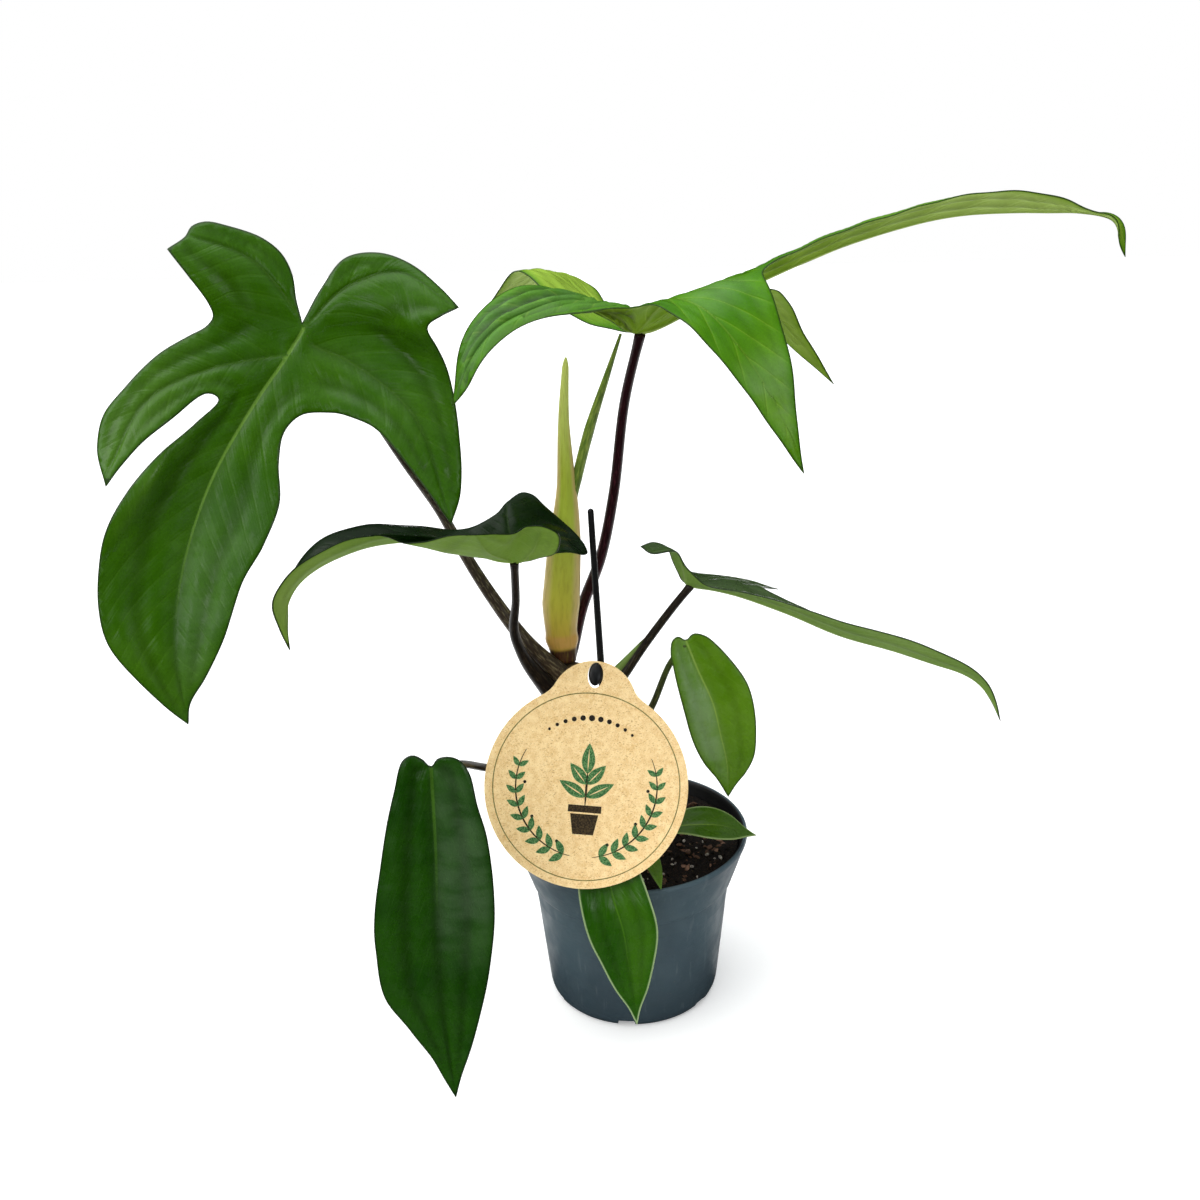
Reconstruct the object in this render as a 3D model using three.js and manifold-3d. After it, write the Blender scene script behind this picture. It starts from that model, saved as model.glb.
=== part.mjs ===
// A potted florida green philodendron in a 12 cm nursery pot, with a card tag on a stick.
// Millimetres, +Z up. The origin is the middle of the pot's base, where it stands.
// The tag faces -Y, and the highest leaf spreads towards +X.

import * as THREE from 'three';
import { mergeVertices } from 'three/addons/utils/BufferGeometryUtils.js';
import Module from 'manifold-3d';

const wasm = await Module();
wasm.setup();

// What the pieces share
const CLEARANCE = 0.3;
const BLADE_THICKNESS = 0.8;
const BLADE_SPACING = 12;
const EDGE_SPACING = 8;
const SMALL_LEAF = 0.65;
const CREASE_WIDTH = 4;
const RIB_STATIONS = 14;
const RIB_REACH = 7;
const STALK_SIDES = 8;
const STALK_STEP = 16;

// Pot: a thin moulded wall with a flared collar, on a flat base with drain slots at its edge
const POT = {
  height: 93,
  rimRadius: 60,
  rimWidth: 2.4,
  rimDepth: 3,
  collarRadius: 52.6,
  collarHeight: 69,
  neckRadius: 50.4,
  neckHeight: 66,
  bodyRadius: 44.3,
  bodyHeight: 7,
  footRadius: 41.2,
  wall: 1.4,
  floor: 2,
  slots: 6,
  slotWidth: 9,
  slotHeight: 4,
  slotInner: 34,
  sides: 44,
};

// Soil: fills the pot to just under the rim, domed and lumpy
const SOIL = {
  height: 86,
  dome: 3,
  lump: 1.6,
  rings: 5,
  sides: 28,
};

// Tag: a disc with a round tab, tilted back, and the stick and peg that it hangs on
const TAG = {
  centre: [-21, -53, 149],
  right: [97, 0, -11],
  up: [10, 45, 93],
  radius: 49,
  tabRadius: 20.9,
  tabRise: 39.6,
  thickness: 0.9,
  holeRise: 53.6,
  holeWidth: 8,
  holeHeight: 13,
};
const STICK = {
  foot: [-6.4, -39.5, 35],
  top: [-16, -14, 277],
  radius: 2.1,
  pegWidth: 6.4,
  pegHeight: 11.2,
  pegBack: 7,
  pegFront: 1.8,
};

// Main stem, from inside the soil up to the crown
const STEM = {
  points: [[-8, 10, 55], [-12, 10, 88], [-16, 9, 112], [-21, 9, 138], [-26, 11, 162], [-30, 13, 182]],
  radius: 6.2,
  nodes: 5,
  nodeBulge: 0.7,
};

// Sheath of the newest leaf, and the rolled leaf that comes out of it
const SHEATH = {
  points: [[-32, 14, 183.4], [-33, 14, 206], [-31, 13, 234], [-28, 12, 271], [-28, 11, 313], [-26, 10, 344]],
  widths: [6.2, 9.4, 8.2, 4.6, 2.7, 1.4],
  flatten: 0.55,
};
const NEW_LEAF = {
  points: [[-27, 14, 258], [-24, 13, 276], [-16, 12, 307], [-7, 11, 334], [0, 9, 355]],
  widths: [1.4, 2.3, 2.3, 1.5, 0.7],
};

// Each leaf is drawn flat, with its stalk joined at 0,0 and its tip towards +y. A third value of 1 in
// its outline marks a sharp corner. Each rib says where the flat leaf's points lie on the plant: up is
// the way the upper face looks, from the rib's start to its end, fold is the rise of the blade at the
// rib's left and right in degrees, curl bends the blade back down towards its edge, and pull is a short
// rib's share in the blade around it. size scales the faces of a small leaf.
const LEAVES = {
  left: {
    outline: [
      [1, -2, 1], [3, -12], [4, -22], [8, -31], [16, -38], [30, -44], [39, -46.5], [45, -45], [48, -41],
      [56, -36, 1], [48, -23], [41, -11], [40, -5], [44, 0], [52, 4], [66, 11], [79, 22], [90, 35],
      [93, 50], [88, 67, 1], [74, 49], [61, 38], [46, 29], [40, 32], [50, 41], [63, 51], [78, 69],
      [87, 86], [90, 103], [90, 121], [86, 137], [74, 153], [61, 167], [52, 175, 1], [51, 165],
      [44, 152], [36, 134], [28, 109], [19, 94], [12, 76], [12, 59], [9, 45], [2, 38], [-9, 39],
      [-20, 43], [-31, 48], [-44, 62], [-64, 88, 1], [-68, 74], [-67, 50], [-63, 26], [-58, 10],
      [-54, 0], [-59, -6], [-66, -11, 1], [-58, -18.5], [-46, -27], [-32, -31], [-18.5, -28.5],
      [-8, -16],
    ],
    ribs: [
      { flat: [[0, 0], [21, 33], [41, 68], [54, 105], [57, 140], [52, 175]],
        place: [[-135, -60, 381], [-158, -68, 351], [-179, -79, 318], [-193, -91, 281],
          [-198, -99, 248], [-196, -101, 212]],
        up: [[0.1, -0.93, 0.36], [0.1, -0.98, 0.15]], fold: [9, 9], curl: 0.0015 },
      { flat: [[-6, 8], [-20, 19], [-47, 41], [-63, 85]],
        place: [[-132, -61, 373], [-117, -62, 366], [-90, -70, 344], [-76, -84, 302]],
        up: [[0.1, -0.93, 0.36], [0.35, -0.9, 0.25]], fold: [3, 3], curl: 0.002 },
      { flat: [[0, 0], [-18, -16], [-42, -23], [-62, -12]],
        place: [[-135, -60, 381], [-117, -57, 397], [-93, -56, 403], [-72, -62, 390]],
        up: [[0.1, -0.93, 0.36], [0.35, -0.8, 0.45]], fold: [3, 3], curl: 0.002 },
      { flat: [[8, 12], [46, 19], [72, 30], [88, 62]],
        place: [[-143, -62, 370], [-177, -69, 366], [-203, -77, 355], [-220, -90, 327]],
        up: [[0.1, -0.93, 0.36], [-0.3, -0.9, 0.25]], fold: [3, 3], curl: 0.002 },
      { flat: [[0, 0], [8, -14], [22, -30], [48, -42]],
        place: [[-135, -60, 381], [-143, -58, 395], [-157, -56, 411], [-182, -58, 422]],
        up: [[0.1, -0.93, 0.36], [-0.2, -0.8, 0.55]], fold: [3, 3], curl: 0.002 },
    ],
    stalk: [[-29, 12, 170], [-36, 10, 180], [-51, 9, 198], [-67, 8, 224], [-79, 6, 248], [-88, 0, 271],
      [-101, -18, 303], [-122, -44, 354]],
    stalkWidths: [4.4, 2.7, 2.3, 2, 1.9],
  },
  fold: {
    outline: [
      [0, -2, 1], [4, -11], [11, -21], [20, -27], [29, -26], [36, -18], [38, -7], [46, 0], [53, 7],
      [54, 13], [42, 15], [28, 15.5], [20, 24], [18, 43], [19, 62], [19, 80], [15.5, 98], [9.5, 115],
      [3.5, 130], [0, 143, 1], [-4, 131], [-14, 118], [-20, 100], [-23, 86], [-26, 74], [-31, 63],
      [-37, 53], [-44, 43], [-51, 33], [-56, 20], [-54, 8], [-48, -3], [-41, -10], [-40, -17],
      [-33, -23], [-19, -21], [-9, -16], [-4, -9],
    ],
    ribs: [
      { flat: [[0, 0], [0, 40], [0, 81], [0, 112], [0, 131], [0, 143]],
        place: [[-51, -28, 256], [-85, -42, 274], [-121, -61, 278], [-146, -75, 267], [-152, -82, 251],
          [-150, -85, 240]],
        up: [[0, 0.28, 0.96], [0, 0.28, 0.96], [-0.15, 0.18, 0.97], [-0.4, 0.1, 0.9], [-0.6, 0.6, 0.4],
          [-0.6, 0.6, 0.4]], fold: [26, 26], curl: 0.002 },
      { flat: [[0, 0], [-14, -8], [-34, -15]],
        place: [[-51, -28, 256], [-42, -43, 270], [-38.5, -52, 281]],
        up: [[0.1, 0.6, 0.8], [0.3, 0.6, 0.7]], fold: [8, 8], curl: 0.004 },
      { flat: [[0, 0], [15, -8], [36, -15]],
        place: [[-51, -28, 256], [-36, -11, 261.5], [-21.5, 0, 254.5]],
        up: [[0, -0.2, 0.98], [0.4, -0.2, 0.9]], fold: [4, 4], curl: 0.004 },
      { flat: [[0, 2], [28, 10], [54, 19]],
        place: [[-52, -28, 257], [-56, -8, 272], [-55, 8, 277.5]],
        up: [[0, -0.1, 0.99], [0, -0.1, 0.99]], fold: [3, 3], curl: 0.002 },
      { flat: [[0, 2], [-28, 12], [-54, 19]],
        place: [[-52, -28, 257], [-62, -50, 271], [-66, -68, 286.5]],
        up: [[0, 0.65, 0.75], [0, 0.65, 0.75]], fold: [3, 3], curl: 0.002 },
    ],
    stalk: [[-24, 10, 148], [-31, 8, 159], [-41, 4, 175], [-50.5, -2, 193], [-55, -9, 211],
      [-53, -18, 232]],
    stalkWidths: [6.2, 3.6, 2.2, 2, 1.9],
  },
  top: {
    outline: [
      [0, -3, 1], [8, -12], [13, -26], [26, -45], [45, -65], [60, -80], [72, -92, 1], [71, -78],
      [63, -58], [52, -38], [46, -20], [42, -4], [43, 7], [51, 17], [63, 33], [74, 53], [83, 75],
      [92, 100, 1], [76, 86], [60, 74], [42, 62], [28, 58], [22, 66], [21, 84], [23, 110], [25, 140],
      [24, 168], [19, 188], [13, 204], [6, 216], [4, 222], [6, 230], [5, 242], [0, 256, 1], [-5, 242],
      [-6, 230], [-4, 222], [-6, 217], [-13, 204], [-19, 188], [-24, 168], [-25, 140], [-21, 110],
      [-18, 84], [-20, 66], [-28, 56], [-42, 58], [-60, 68], [-77, 83], [-92, 100, 1], [-85, 72],
      [-76, 50], [-61, 33], [-43, 21], [-27, 11], [-22, 0], [-36, -10], [-62, -19], [-80, -42],
      [-78, -66, 1], [-57, -62], [-35, -55], [-14, -39], [-6, -18],
    ],
    ribs: [
      { flat: [[0, 0], [0, 36], [0, 59], [0, 83], [0, 110], [0, 154], [0, 201], [0, 222], [0, 234],
        [0, 256]],
        place: [[7, -20, 364], [40, -13, 376], [61, -8, 383], [84, -2, 391], [109, 4, 398.5],
          [151, 13, 406], [198, 20, 405], [219, 22, 402.5], [228, 23, 398.5], [234, 22, 383]],
        up: [[-0.3, 0.45, 0.85], [-0.1, 0.5, 0.86], [0, 0.5, 0.86], [0, 0.4, 0.9], [0.1, 0.3, 0.95],
          [0.5, -0.8, 0.3]], fold: [19, 18], curl: 0.001 },
      { flat: [[0, 0], [18, 8], [32, 18], [48, 34], [64, 56], [78, 80], [90, 98]],
        place: [[7, -20, 364], [14, -34, 377], [22, -44, 385], [36, -56, 383], [55, -68, 363],
          [69, -75, 339], [77, -78, 319]],
        up: [[-0.2, 0.7, 0.7], [0, 0.2, 0.98], [0.3, -0.8, 0.5], [0.3, -0.9, 0.25], [0.3, -0.93, 0.2]],
        fold: [2, 2], curl: 0.002 },
      { flat: [[0, 0], [14, -8], [28, -20], [42, -38], [54, -56], [63, -72], [71, -88]],
        place: [[7, -20, 364], [1, -34, 376], [-9, -42, 383], [-30, -56, 387], [-51, -66, 381],
          [-63, -72, 369], [-70, -74, 352]],
        up: [[0, 0.7, 0.7], [0, 0.2, 0.98], [-0.2, -0.5, 0.85], [-0.5, -0.7, 0.5], [-0.7, -0.7, 0.2]],
        fold: [4, 4], curl: 0.003 },
      { flat: [[0, 0], [-20, -10], [-40, -24], [-56, -40], [-70, -58]],
        place: [[7, -20, 364], [-3, -2, 366], [-17, 14, 372.5], [-33, 27, 379.5], [-57, 33, 365]],
        up: [[0, 0.3, 0.95], [-0.1, 0.5, 0.86], [-0.25, 0.4, 0.88]], fold: [4, 4], curl: 0.003 },
      { flat: [[0, 0], [-24, 13], [-44, 32], [-64, 56], [-78, 78], [-90, 98]],
        place: [[7, -20, 364], [27, -4, 366], [51, 14, 368], [70, 30, 359], [86, 38, 341],
          [103, 42, 319]],
        up: [[-0.3, 0.35, 0.9], [0.2, 0.6, 0.75], [0.5, 0.8, 0.4]], fold: [3, 3], curl: 0.002 },
    ],
    stalk: [[-26, 12, 158], [-31, 16, 173], [-27, 21, 190], [-22, 20, 211], [-12, 13, 241], [-5, 5, 277],
      [1, -6, 326]],
    stalkWidths: [3.2, 2.6, 2.2],
  },
  right: {
    outline: [
      [0, -2, 1], [4, -9], [9, -19], [14, -27], [18, -34], [25, -39, 1], [27, -33], [23, -26],
      [16, -18], [11, -8], [11, 2], [13, 14], [15, 28], [17, 42], [19, 60], [20, 85], [19, 108],
      [14, 129], [7.5, 146], [3, 158], [0, 171, 1], [-3, 158], [-7.5, 146], [-14, 129], [-19, 108],
      [-21, 85], [-19, 62], [-18, 48], [-20, 38], [-28, 38], [-44, 44, 1], [-43, 31], [-36, 18],
      [-26, 6], [-16, -3], [-11, -9, 1], [-7, -8], [-3, -5],
    ],
    ribs: [
      { flat: [[0, 0], [0, 24], [0, 50], [0, 78], [0, 105], [0, 125], [0, 138], [0, 148], [0, 158],
        [0, 171]],
        place: [[30, 0, 231], [53, -6, 228], [78, -12, 220.5], [103, -18, 211], [129, -25, 205],
          [147, -30, 200], [160, -33, 196], [168, -35, 191], [174, -36, 183], [179, -36, 171]],
        up: [[0.1, 0.35, 0.93], [0.2, 0.45, 0.86], [0.2, 0.45, 0.86], [0.6, 0.4, 0.7]],
        fold: [18, 20], curl: 0.001 },
      { flat: [[0, 0], [9, -9], [18, -22], [27, -34]],
        place: [[30, 0, 231], [28, -6, 242.5], [22.5, -15, 254.5], [11.5, -20, 256]],
        up: [[0.1, 0.7, 0.65], [0.3, 0.6, 0.65], [0.2, 0.2, 0.9], [0.1, -0.6, 0.8]],
        fold: [6, 6], curl: 0.006 },
      { flat: [[0, 0], [-14, 10], [-28, 22], [-42, 38]],
        place: [[30, 0, 231], [44, 12, 228], [58, 20, 223], [69, 24, 218.5]],
        up: [[0.1, 0.4, 0.9], [0.2, 0.2, 0.95]], fold: [3, 3], curl: 0.003 },
      { flat: [[0, 0], [-5, -4], [-10, -8]],
        place: [[30, 0, 231], [29, 1, 236], [26, 2, 241]],
        up: [[0.7, -0.3, 0.5], [0.7, -0.4, 0.5]], fold: [3, 3], curl: 0.003, pull: 0.2 },
    ],
    stalk: [[-24, 10, 148], [-19, 9, 157], [-12, 8, 164], [-1, 7, 180], [9, 6, 196], [22, 3, 216]],
    stalkWidths: [3.4, 2.2, 1.9],
  },
  oval: {
    size: SMALL_LEAF,
    outline: [
      [0, 0], [4, -2], [7, 0], [8, 7], [7, 13], [3, 38], [-1, 53], [-7, 66], [-14, 76], [-20, 87, 1],
      [-24, 80], [-29, 73], [-33, 64], [-34, 52], [-33, 38], [-30, 25.5], [-24, 14.5], [-16.5, 4.5],
      [-10, -1.5], [-4, -3],
    ],
    ribs: [
      { flat: [[0, 0], [-6, 17], [-12, 35], [-16, 52], [-19, 67], [-20, 87]],
        place: [[29, -1, 201], [35, -3, 185], [42, -5, 168], [46, -6, 150], [49, -6, 135], [50, -4, 113]],
        up: [[0.1, -0.95, 0.3], [0.1, -0.98, 0.1]], fold: [12, 12], curl: 0.004 },
    ],
    stalk: [[-18, 9, 118], [-9, 7, 128], [3, 5, 146], [12, 3, 163], [21, 1, 187]],
    stalkWidths: [2.6, 1.8, 1.5],
  },
  low: {
    outline: [
      [0, 0], [4, -3.5], [8.5, -5.5], [13, -3], [17, 12], [20.5, 28], [23, 45], [26, 76], [25, 92],
      [19.5, 118], [8, 134], [-1, 148], [-7, 162], [-12, 173, 1], [-15, 162], [-22, 140], [-28, 112],
      [-30, 92], [-30.5, 70], [-26, 34], [-21.5, 18], [-17.5, 2], [-13, -4], [-8, -5.5], [-3, -4],
    ],
    ribs: [
      { flat: [[0, 0], [-2, 42], [-4, 83], [-7, 120], [-10, 149], [-12, 173]],
        place: [[-90, -95, 185], [-90, -100, 143], [-91, -105, 102], [-91, -109, 65], [-89, -111, 36],
          [-87, -112, 13]],
        up: [[0, -0.97, 0.25], [0, -0.99, 0.05]], fold: [10, 10], curl: 0.004 },
    ],
    stalk: [[-17, 9, 112], [-30, 2, 121], [-50, -14, 136], [-69, -38, 152], [-80, -66, 170]],
    stalkWidths: [2.8, 2, 1.7],
  },
  front: {
    size: SMALL_LEAF,
    outline: [
      [0, 0], [5, -3], [10, 3], [15, 15], [17, 30], [17, 44], [13, 60], [8, 76], [3, 88], [0, 98, 1],
      [-3, 88], [-8, 76], [-13, 60], [-17, 44], [-17, 30], [-15, 15], [-10, 3], [-5, -3],
    ],
    ribs: [
      { flat: [[0, 0], [0, 13], [0, 27], [0, 42], [0, 67], [0, 98]],
        place: [[-15, -52, 113], [-12, -64, 108], [-9, -71, 96], [-5, -74, 81], [-2, -75, 56],
          [1, -74, 25]],
        up: [[0, -0.2, 0.98], [0, -0.9, 0.4], [0, -0.97, 0.2], [0, -0.99, 0.05]],
        fold: [10, 10], curl: 0.003 },
    ],
    stalk: [[-13, 9, 100], [-13, -2, 108], [-14, -22, 113], [-15, -38, 114]],
    stalkWidths: [2.2, 1.6, 1.4],
  },
  rim: {
    size: SMALL_LEAF,
    outline: [
      [0, 0], [4, -2], [7, 3], [9, 13], [10, 24], [8, 35], [3, 44], [0, 50, 1], [-3, 44], [-8, 35],
      [-11, 24], [-11, 13], [-8, 3], [-4, -2],
    ],
    ribs: [
      { flat: [[0, 0], [0, 14], [0, 30], [0, 51]],
        place: [[16, -26, 108], [30, -26, 110], [45, -24, 108], [64, -21, 100]],
        up: [[0, -0.35, 0.94], [0.2, -0.35, 0.92]], fold: [12, 12], curl: 0.006 },
    ],
    stalk: [[-12, 9, 97], [-4, 4, 103], [4, -10, 108]],
    stalkWidths: [2, 1.4, 1.2],
  },
  sprout: {
    size: SMALL_LEAF,
    outline: [
      [0, 0], [3, 2], [5, 10], [5, 20], [3, 29], [0, 36, 1], [-3, 29], [-5, 20], [-5, 10], [-3, 2],
    ],
    ribs: [
      { flat: [[0, 0], [0, 12], [0, 25], [0, 36]],
        place: [[1, -32, 113], [6, -43, 109], [11, -53, 102], [14, -60, 94.4]],
        up: [[0.3, -0.4, 0.87], [0.5, -0.7, 0.5]], fold: [14, 14], curl: 0.006 },
    ],
    stalk: [[-13, 9, 100], [-8, 0, 106], [-3, -16, 112]],
    stalkWidths: [1.8, 1.2, 1],
  },
};

// Colours and finish, one material for each kind of surface
const MATERIALS = {
  pot: { color: 0x46555f, roughness: 0.5 },
  soil: { color: 0x1c1410, roughness: 0.95 },
  stem: { color: 0x4a3826, roughness: 0.7 },
  leaf: { color: 0x2f6a16, roughness: 0.35 },
  darkLeaf: { color: 0x1d4a1a, roughness: 0.35 },
  brightLeaf: { color: 0x4a8a22, roughness: 0.35 },
  stalk: { color: 0x2c221c, roughness: 0.5 },
  purpleStalk: { color: 0x3a141c, roughness: 0.45 },
  sheath: { color: 0xb9b860, roughness: 0.5 },
  newLeaf: { color: 0x7c9230, roughness: 0.45 },
  card: { color: 0xe3c48d, roughness: 0.85 },
  stick: { color: 0x101314, roughness: 0.4 },
};

const vector = ([x, y, z = 0]) => new THREE.Vector3(x, y, z);
const lerp = THREE.MathUtils.lerp;
const radians = THREE.MathUtils.degToRad;

// Solids for cutting and joining

function toSolid(geometry) {
  const bare = geometry.clone();
  bare.deleteAttribute('normal');
  bare.deleteAttribute('uv');
  const merged = mergeVertices(bare, 1e-4);
  return new wasm.Manifold(new wasm.Mesh({
    numProp: 3,
    vertProperties: new Float32Array(merged.attributes.position.array),
    triVerts: new Uint32Array(merged.index.array),
  }));
}

function toGeometry(solid) {
  const { numProp, vertProperties, triVerts } = solid.getMesh();
  const positions = [];
  for (let i = 0; i < vertProperties.length; i += numProp) {
    positions.push(vertProperties[i], vertProperties[i + 1], vertProperties[i + 2]);
  }
  const geometry = new THREE.BufferGeometry();
  geometry.setAttribute('position', new THREE.Float32BufferAttribute(positions, 3));
  geometry.setIndex([...triVerts]);
  geometry.computeVertexNormals();
  return geometry;
}

// What is left of a solid after its neighbours are cut out of it: the largest body.
function trimmed(solid, neighbours) {
  const rest = neighbours.reduce((body, neighbour) => body.subtract(neighbour), solid);
  const bodies = rest.decompose();
  return bodies.reduce((best, body) => (body.volume() > best.volume() ? body : best));
}

// A tapered stalk along hand-set points, closed at both ends.
function stalk(points, widths, grow = 0, { flatten = 1, sides = STALK_SIDES, step = STALK_STEP } = {}) {
  const path = new THREE.CatmullRomCurve3(points.map(vector));
  const steps = Math.max(3, Math.ceil(path.getLength() / step));
  const section = new THREE.Shape();
  for (let side = 0; side < sides; side += 1) {
    const angle = (2 * Math.PI * side) / sides;
    const corner = [Math.cos(angle), Math.sin(angle)];
    if (side === 0) section.moveTo(...corner);
    else section.lineTo(...corner);
  }
  const geometry = new THREE.ExtrudeGeometry(section, { steps, extrudePath: path, bevelEnabled: false });
  const spine = path.getSpacedPoints(steps);
  const place = geometry.attributes.position;
  const corner = new THREE.Vector3();
  for (let i = 0; i < place.count; i += 1) {
    corner.fromBufferAttribute(place, i);
    const distances = spine.map((point) => point.distanceTo(corner));
    const ring = distances.indexOf(Math.min(...distances));
    const radius = radiusAlong(widths, ring / steps) + grow;
    const out = corner.clone().sub(spine[ring]).multiplyScalar(radius);
    out.y *= flatten;
    corner.copy(spine[ring]).add(out);
    place.setXYZ(i, corner.x, corner.y, corner.z);
  }
  return geometry;
}

function radiusAlong(widths, t) {
  if (typeof widths === 'function') return widths(t);
  const place = Math.min(t * (widths.length - 1), widths.length - 1.0001);
  const step = Math.floor(place);
  return lerp(widths[step], widths[step + 1], place - step);
}

// Flat leaf: its smooth outline, then points inside it, then triangles

function smoothOutline(outline, spacing) {
  const first = outline.findIndex((point) => point[2]);
  const loop = [...outline.slice(first), ...outline.slice(0, first), outline[first]];
  const corners = loop.map((point, i) => (point[2] ? i : -1)).filter((i) => i >= 0);
  const edge = [];
  for (let i = 0; i + 1 < corners.length; i += 1) {
    const stretch = loop.slice(corners[i], corners[i + 1] + 1).map(([x, y]) => vector([x, y]));
    const curve = new THREE.CatmullRomCurve3(stretch);
    const pieces = Math.max(1, Math.round(curve.getLength() / spacing));
    edge.push(...curve.getSpacedPoints(pieces).slice(0, -1));
  }
  return edge.map(({ x, y }) => new THREE.Vector2(x, y));
}

function isInside(point, edge) {
  let inside = false;
  edge.forEach((a, i) => {
    const b = edge[(i + 1) % edge.length];
    const crosses = (a.y > point.y) !== (b.y > point.y);
    if (crosses && point.x < ((b.x - a.x) * (point.y - a.y)) / (b.y - a.y) + a.x) inside = !inside;
  });
  return inside;
}

function distanceToEdge(point, edge) {
  const distances = edge.map((a, i) => {
    const side = new THREE.Line3(vector([a.x, a.y]), vector([...edge[(i + 1) % edge.length]]));
    return side.closestPointToPoint(vector([point.x, point.y]), true, new THREE.Vector3())
      .distanceTo(vector([point.x, point.y]));
  });
  return Math.min(...distances);
}

function insidePoints(edge, spacing) {
  const box = new THREE.Box2().setFromPoints(edge);
  const points = [];
  const rise = spacing * Math.sqrt(0.75);
  for (let row = 0; box.min.y + row * rise < box.max.y; row += 1) {
    for (let x = box.min.x + (row % 2) * spacing * 0.5; x < box.max.x; x += spacing) {
      const point = new THREE.Vector2(x, box.min.y + row * rise);
      if (isInside(point, edge) && distanceToEdge(point, edge) > 0.55 * spacing) points.push(point);
    }
  }
  return points;
}

// Delaunay triangles by adding one point at a time.
function delaunay(points) {
  const box = new THREE.Box2().setFromPoints(points);
  const reach = 20 * box.getSize(new THREE.Vector2()).length();
  const middle = box.getCenter(new THREE.Vector2());
  const hull = [[-1, -1], [1, -1], [0, 1]].map(([x, y]) => new THREE.Vector2(x, y)
    .multiplyScalar(reach).add(middle));
  const all = [...points, ...hull];
  const count = points.length;
  let triangles = [circled([count, count + 1, count + 2], all)];
  points.forEach((point, index) => {
    const broken = triangles.filter((triangle) => triangle.centre.distanceToSquared(point) < triangle.radius);
    const sides = broken.flatMap(({ corners: [a, b, c] }) => [[a, b], [b, c], [c, a]]);
    const isShared = ([a, b]) => sides.some(([c, d]) => c === b && d === a);
    triangles = triangles.filter((triangle) => !broken.includes(triangle));
    sides.filter((side) => !isShared(side)).forEach(([a, b]) => {
      triangles.push(circled([a, b, index], all));
    });
  });
  return triangles.map(({ corners }) => corners).filter((corners) => corners.every((i) => i < count));
}

function circled(corners, points) {
  const [a, b, c] = corners.map((i) => points[i]);
  const twice = 2 * (a.x * (b.y - c.y) + b.x * (c.y - a.y) + c.x * (a.y - b.y));
  const [as, bs, cs] = [a, b, c].map((point) => point.lengthSq());
  const centre = new THREE.Vector2(
    (as * (b.y - c.y) + bs * (c.y - a.y) + cs * (a.y - b.y)) / twice,
    (as * (c.x - b.x) + bs * (a.x - c.x) + cs * (b.x - a.x)) / twice,
  );
  return { corners, centre, radius: centre.distanceToSquared(a) };
}

// The leaf's flat mesh. An edge that the triangles miss is split in two, and they are made again.
function flatLeaf({ outline, size = 1 }) {
  let edge = smoothOutline(outline, EDGE_SPACING * size);
  const inner = insidePoints(edge, BLADE_SPACING * size);
  for (;;) {
    const points = [...edge, ...inner];
    const triangles = delaunay(points).filter((corners) => {
      const middle = new THREE.Vector2();
      corners.forEach((i) => middle.addScaledVector(points[i], 1 / 3));
      return isInside(middle, edge);
    });
    const sides = new Set(triangles.flatMap(([a, b, c]) => [`${a} ${b}`, `${b} ${c}`, `${c} ${a}`]));
    const isMissing = (i) => {
      const next = (i + 1) % edge.length;
      return !sides.has(`${i} ${next}`) && !sides.has(`${next} ${i}`);
    };
    const missing = edge.map((_, i) => i).filter(isMissing);
    if (missing.length === 0) return { points, triangles, edgeCount: edge.length };
    edge = edge.flatMap((point, i) => (missing.includes(i)
      ? [point, point.clone().lerp(edge[(i + 1) % edge.length], 0.5)] : [point]));
  }
}

// Places along a rib, each with the blade's directions there: along, across and up.
function ribStations({ flat, place, up, fold, curl, pull = 1 }) {
  const flatCurve = new THREE.CatmullRomCurve3(flat.map(vector));
  const placeCurve = new THREE.CatmullRomCurve3(place.map(vector));
  return Array.from({ length: RIB_STATIONS + 1 }, (_, i) => {
    const t = i / RIB_STATIONS;
    const heading = flatCurve.getTangent(t);
    const along = placeCurve.getTangent(t);
    const turn = Math.min(t * (up.length - 1), up.length - 1.0001);
    const above = vector(up[Math.floor(turn)]).lerp(vector(up[Math.floor(turn) + 1]), turn % 1);
    above.addScaledVector(along, -above.dot(along)).normalize();
    return {
      from: flatCurve.getPoint(t),
      heading,
      side: new THREE.Vector3(heading.y, -heading.x, 0),
      at: placeCurve.getPoint(t),
      along,
      across: along.clone().cross(above),
      above,
      fold: fold.map(radians),
      curl,
      pull,
    };
  });
}

// Where a point of the flat leaf lies on the plant: the ribs' frames, blended by nearness.
function placeOnPlant(stations, point) {
  const total = new THREE.Vector3();
  let weights = 0;
  stations.forEach(({ from, heading, side, at, along, across, above, fold, curl, pull }) => {
    const offset = vector([point.x, point.y]).sub(from);
    const forward = offset.dot(heading);
    const sideways = offset.dot(side);
    const angle = sideways < 0 ? fold[0] : fold[1];
    const spread = Math.hypot(sideways, CREASE_WIDTH) - CREASE_WIDTH;
    const weight = pull * (offset.lengthSq() + RIB_REACH ** 2) ** -2;
    const place = at.clone()
      .addScaledVector(along, forward)
      .addScaledVector(across, sideways * Math.cos(angle))
      .addScaledVector(above, spread * Math.sin(angle) - curl * sideways ** 2);
    total.addScaledVector(place, weight);
    weights += weight;
  });
  return total.divideScalar(weights);
}

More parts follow.
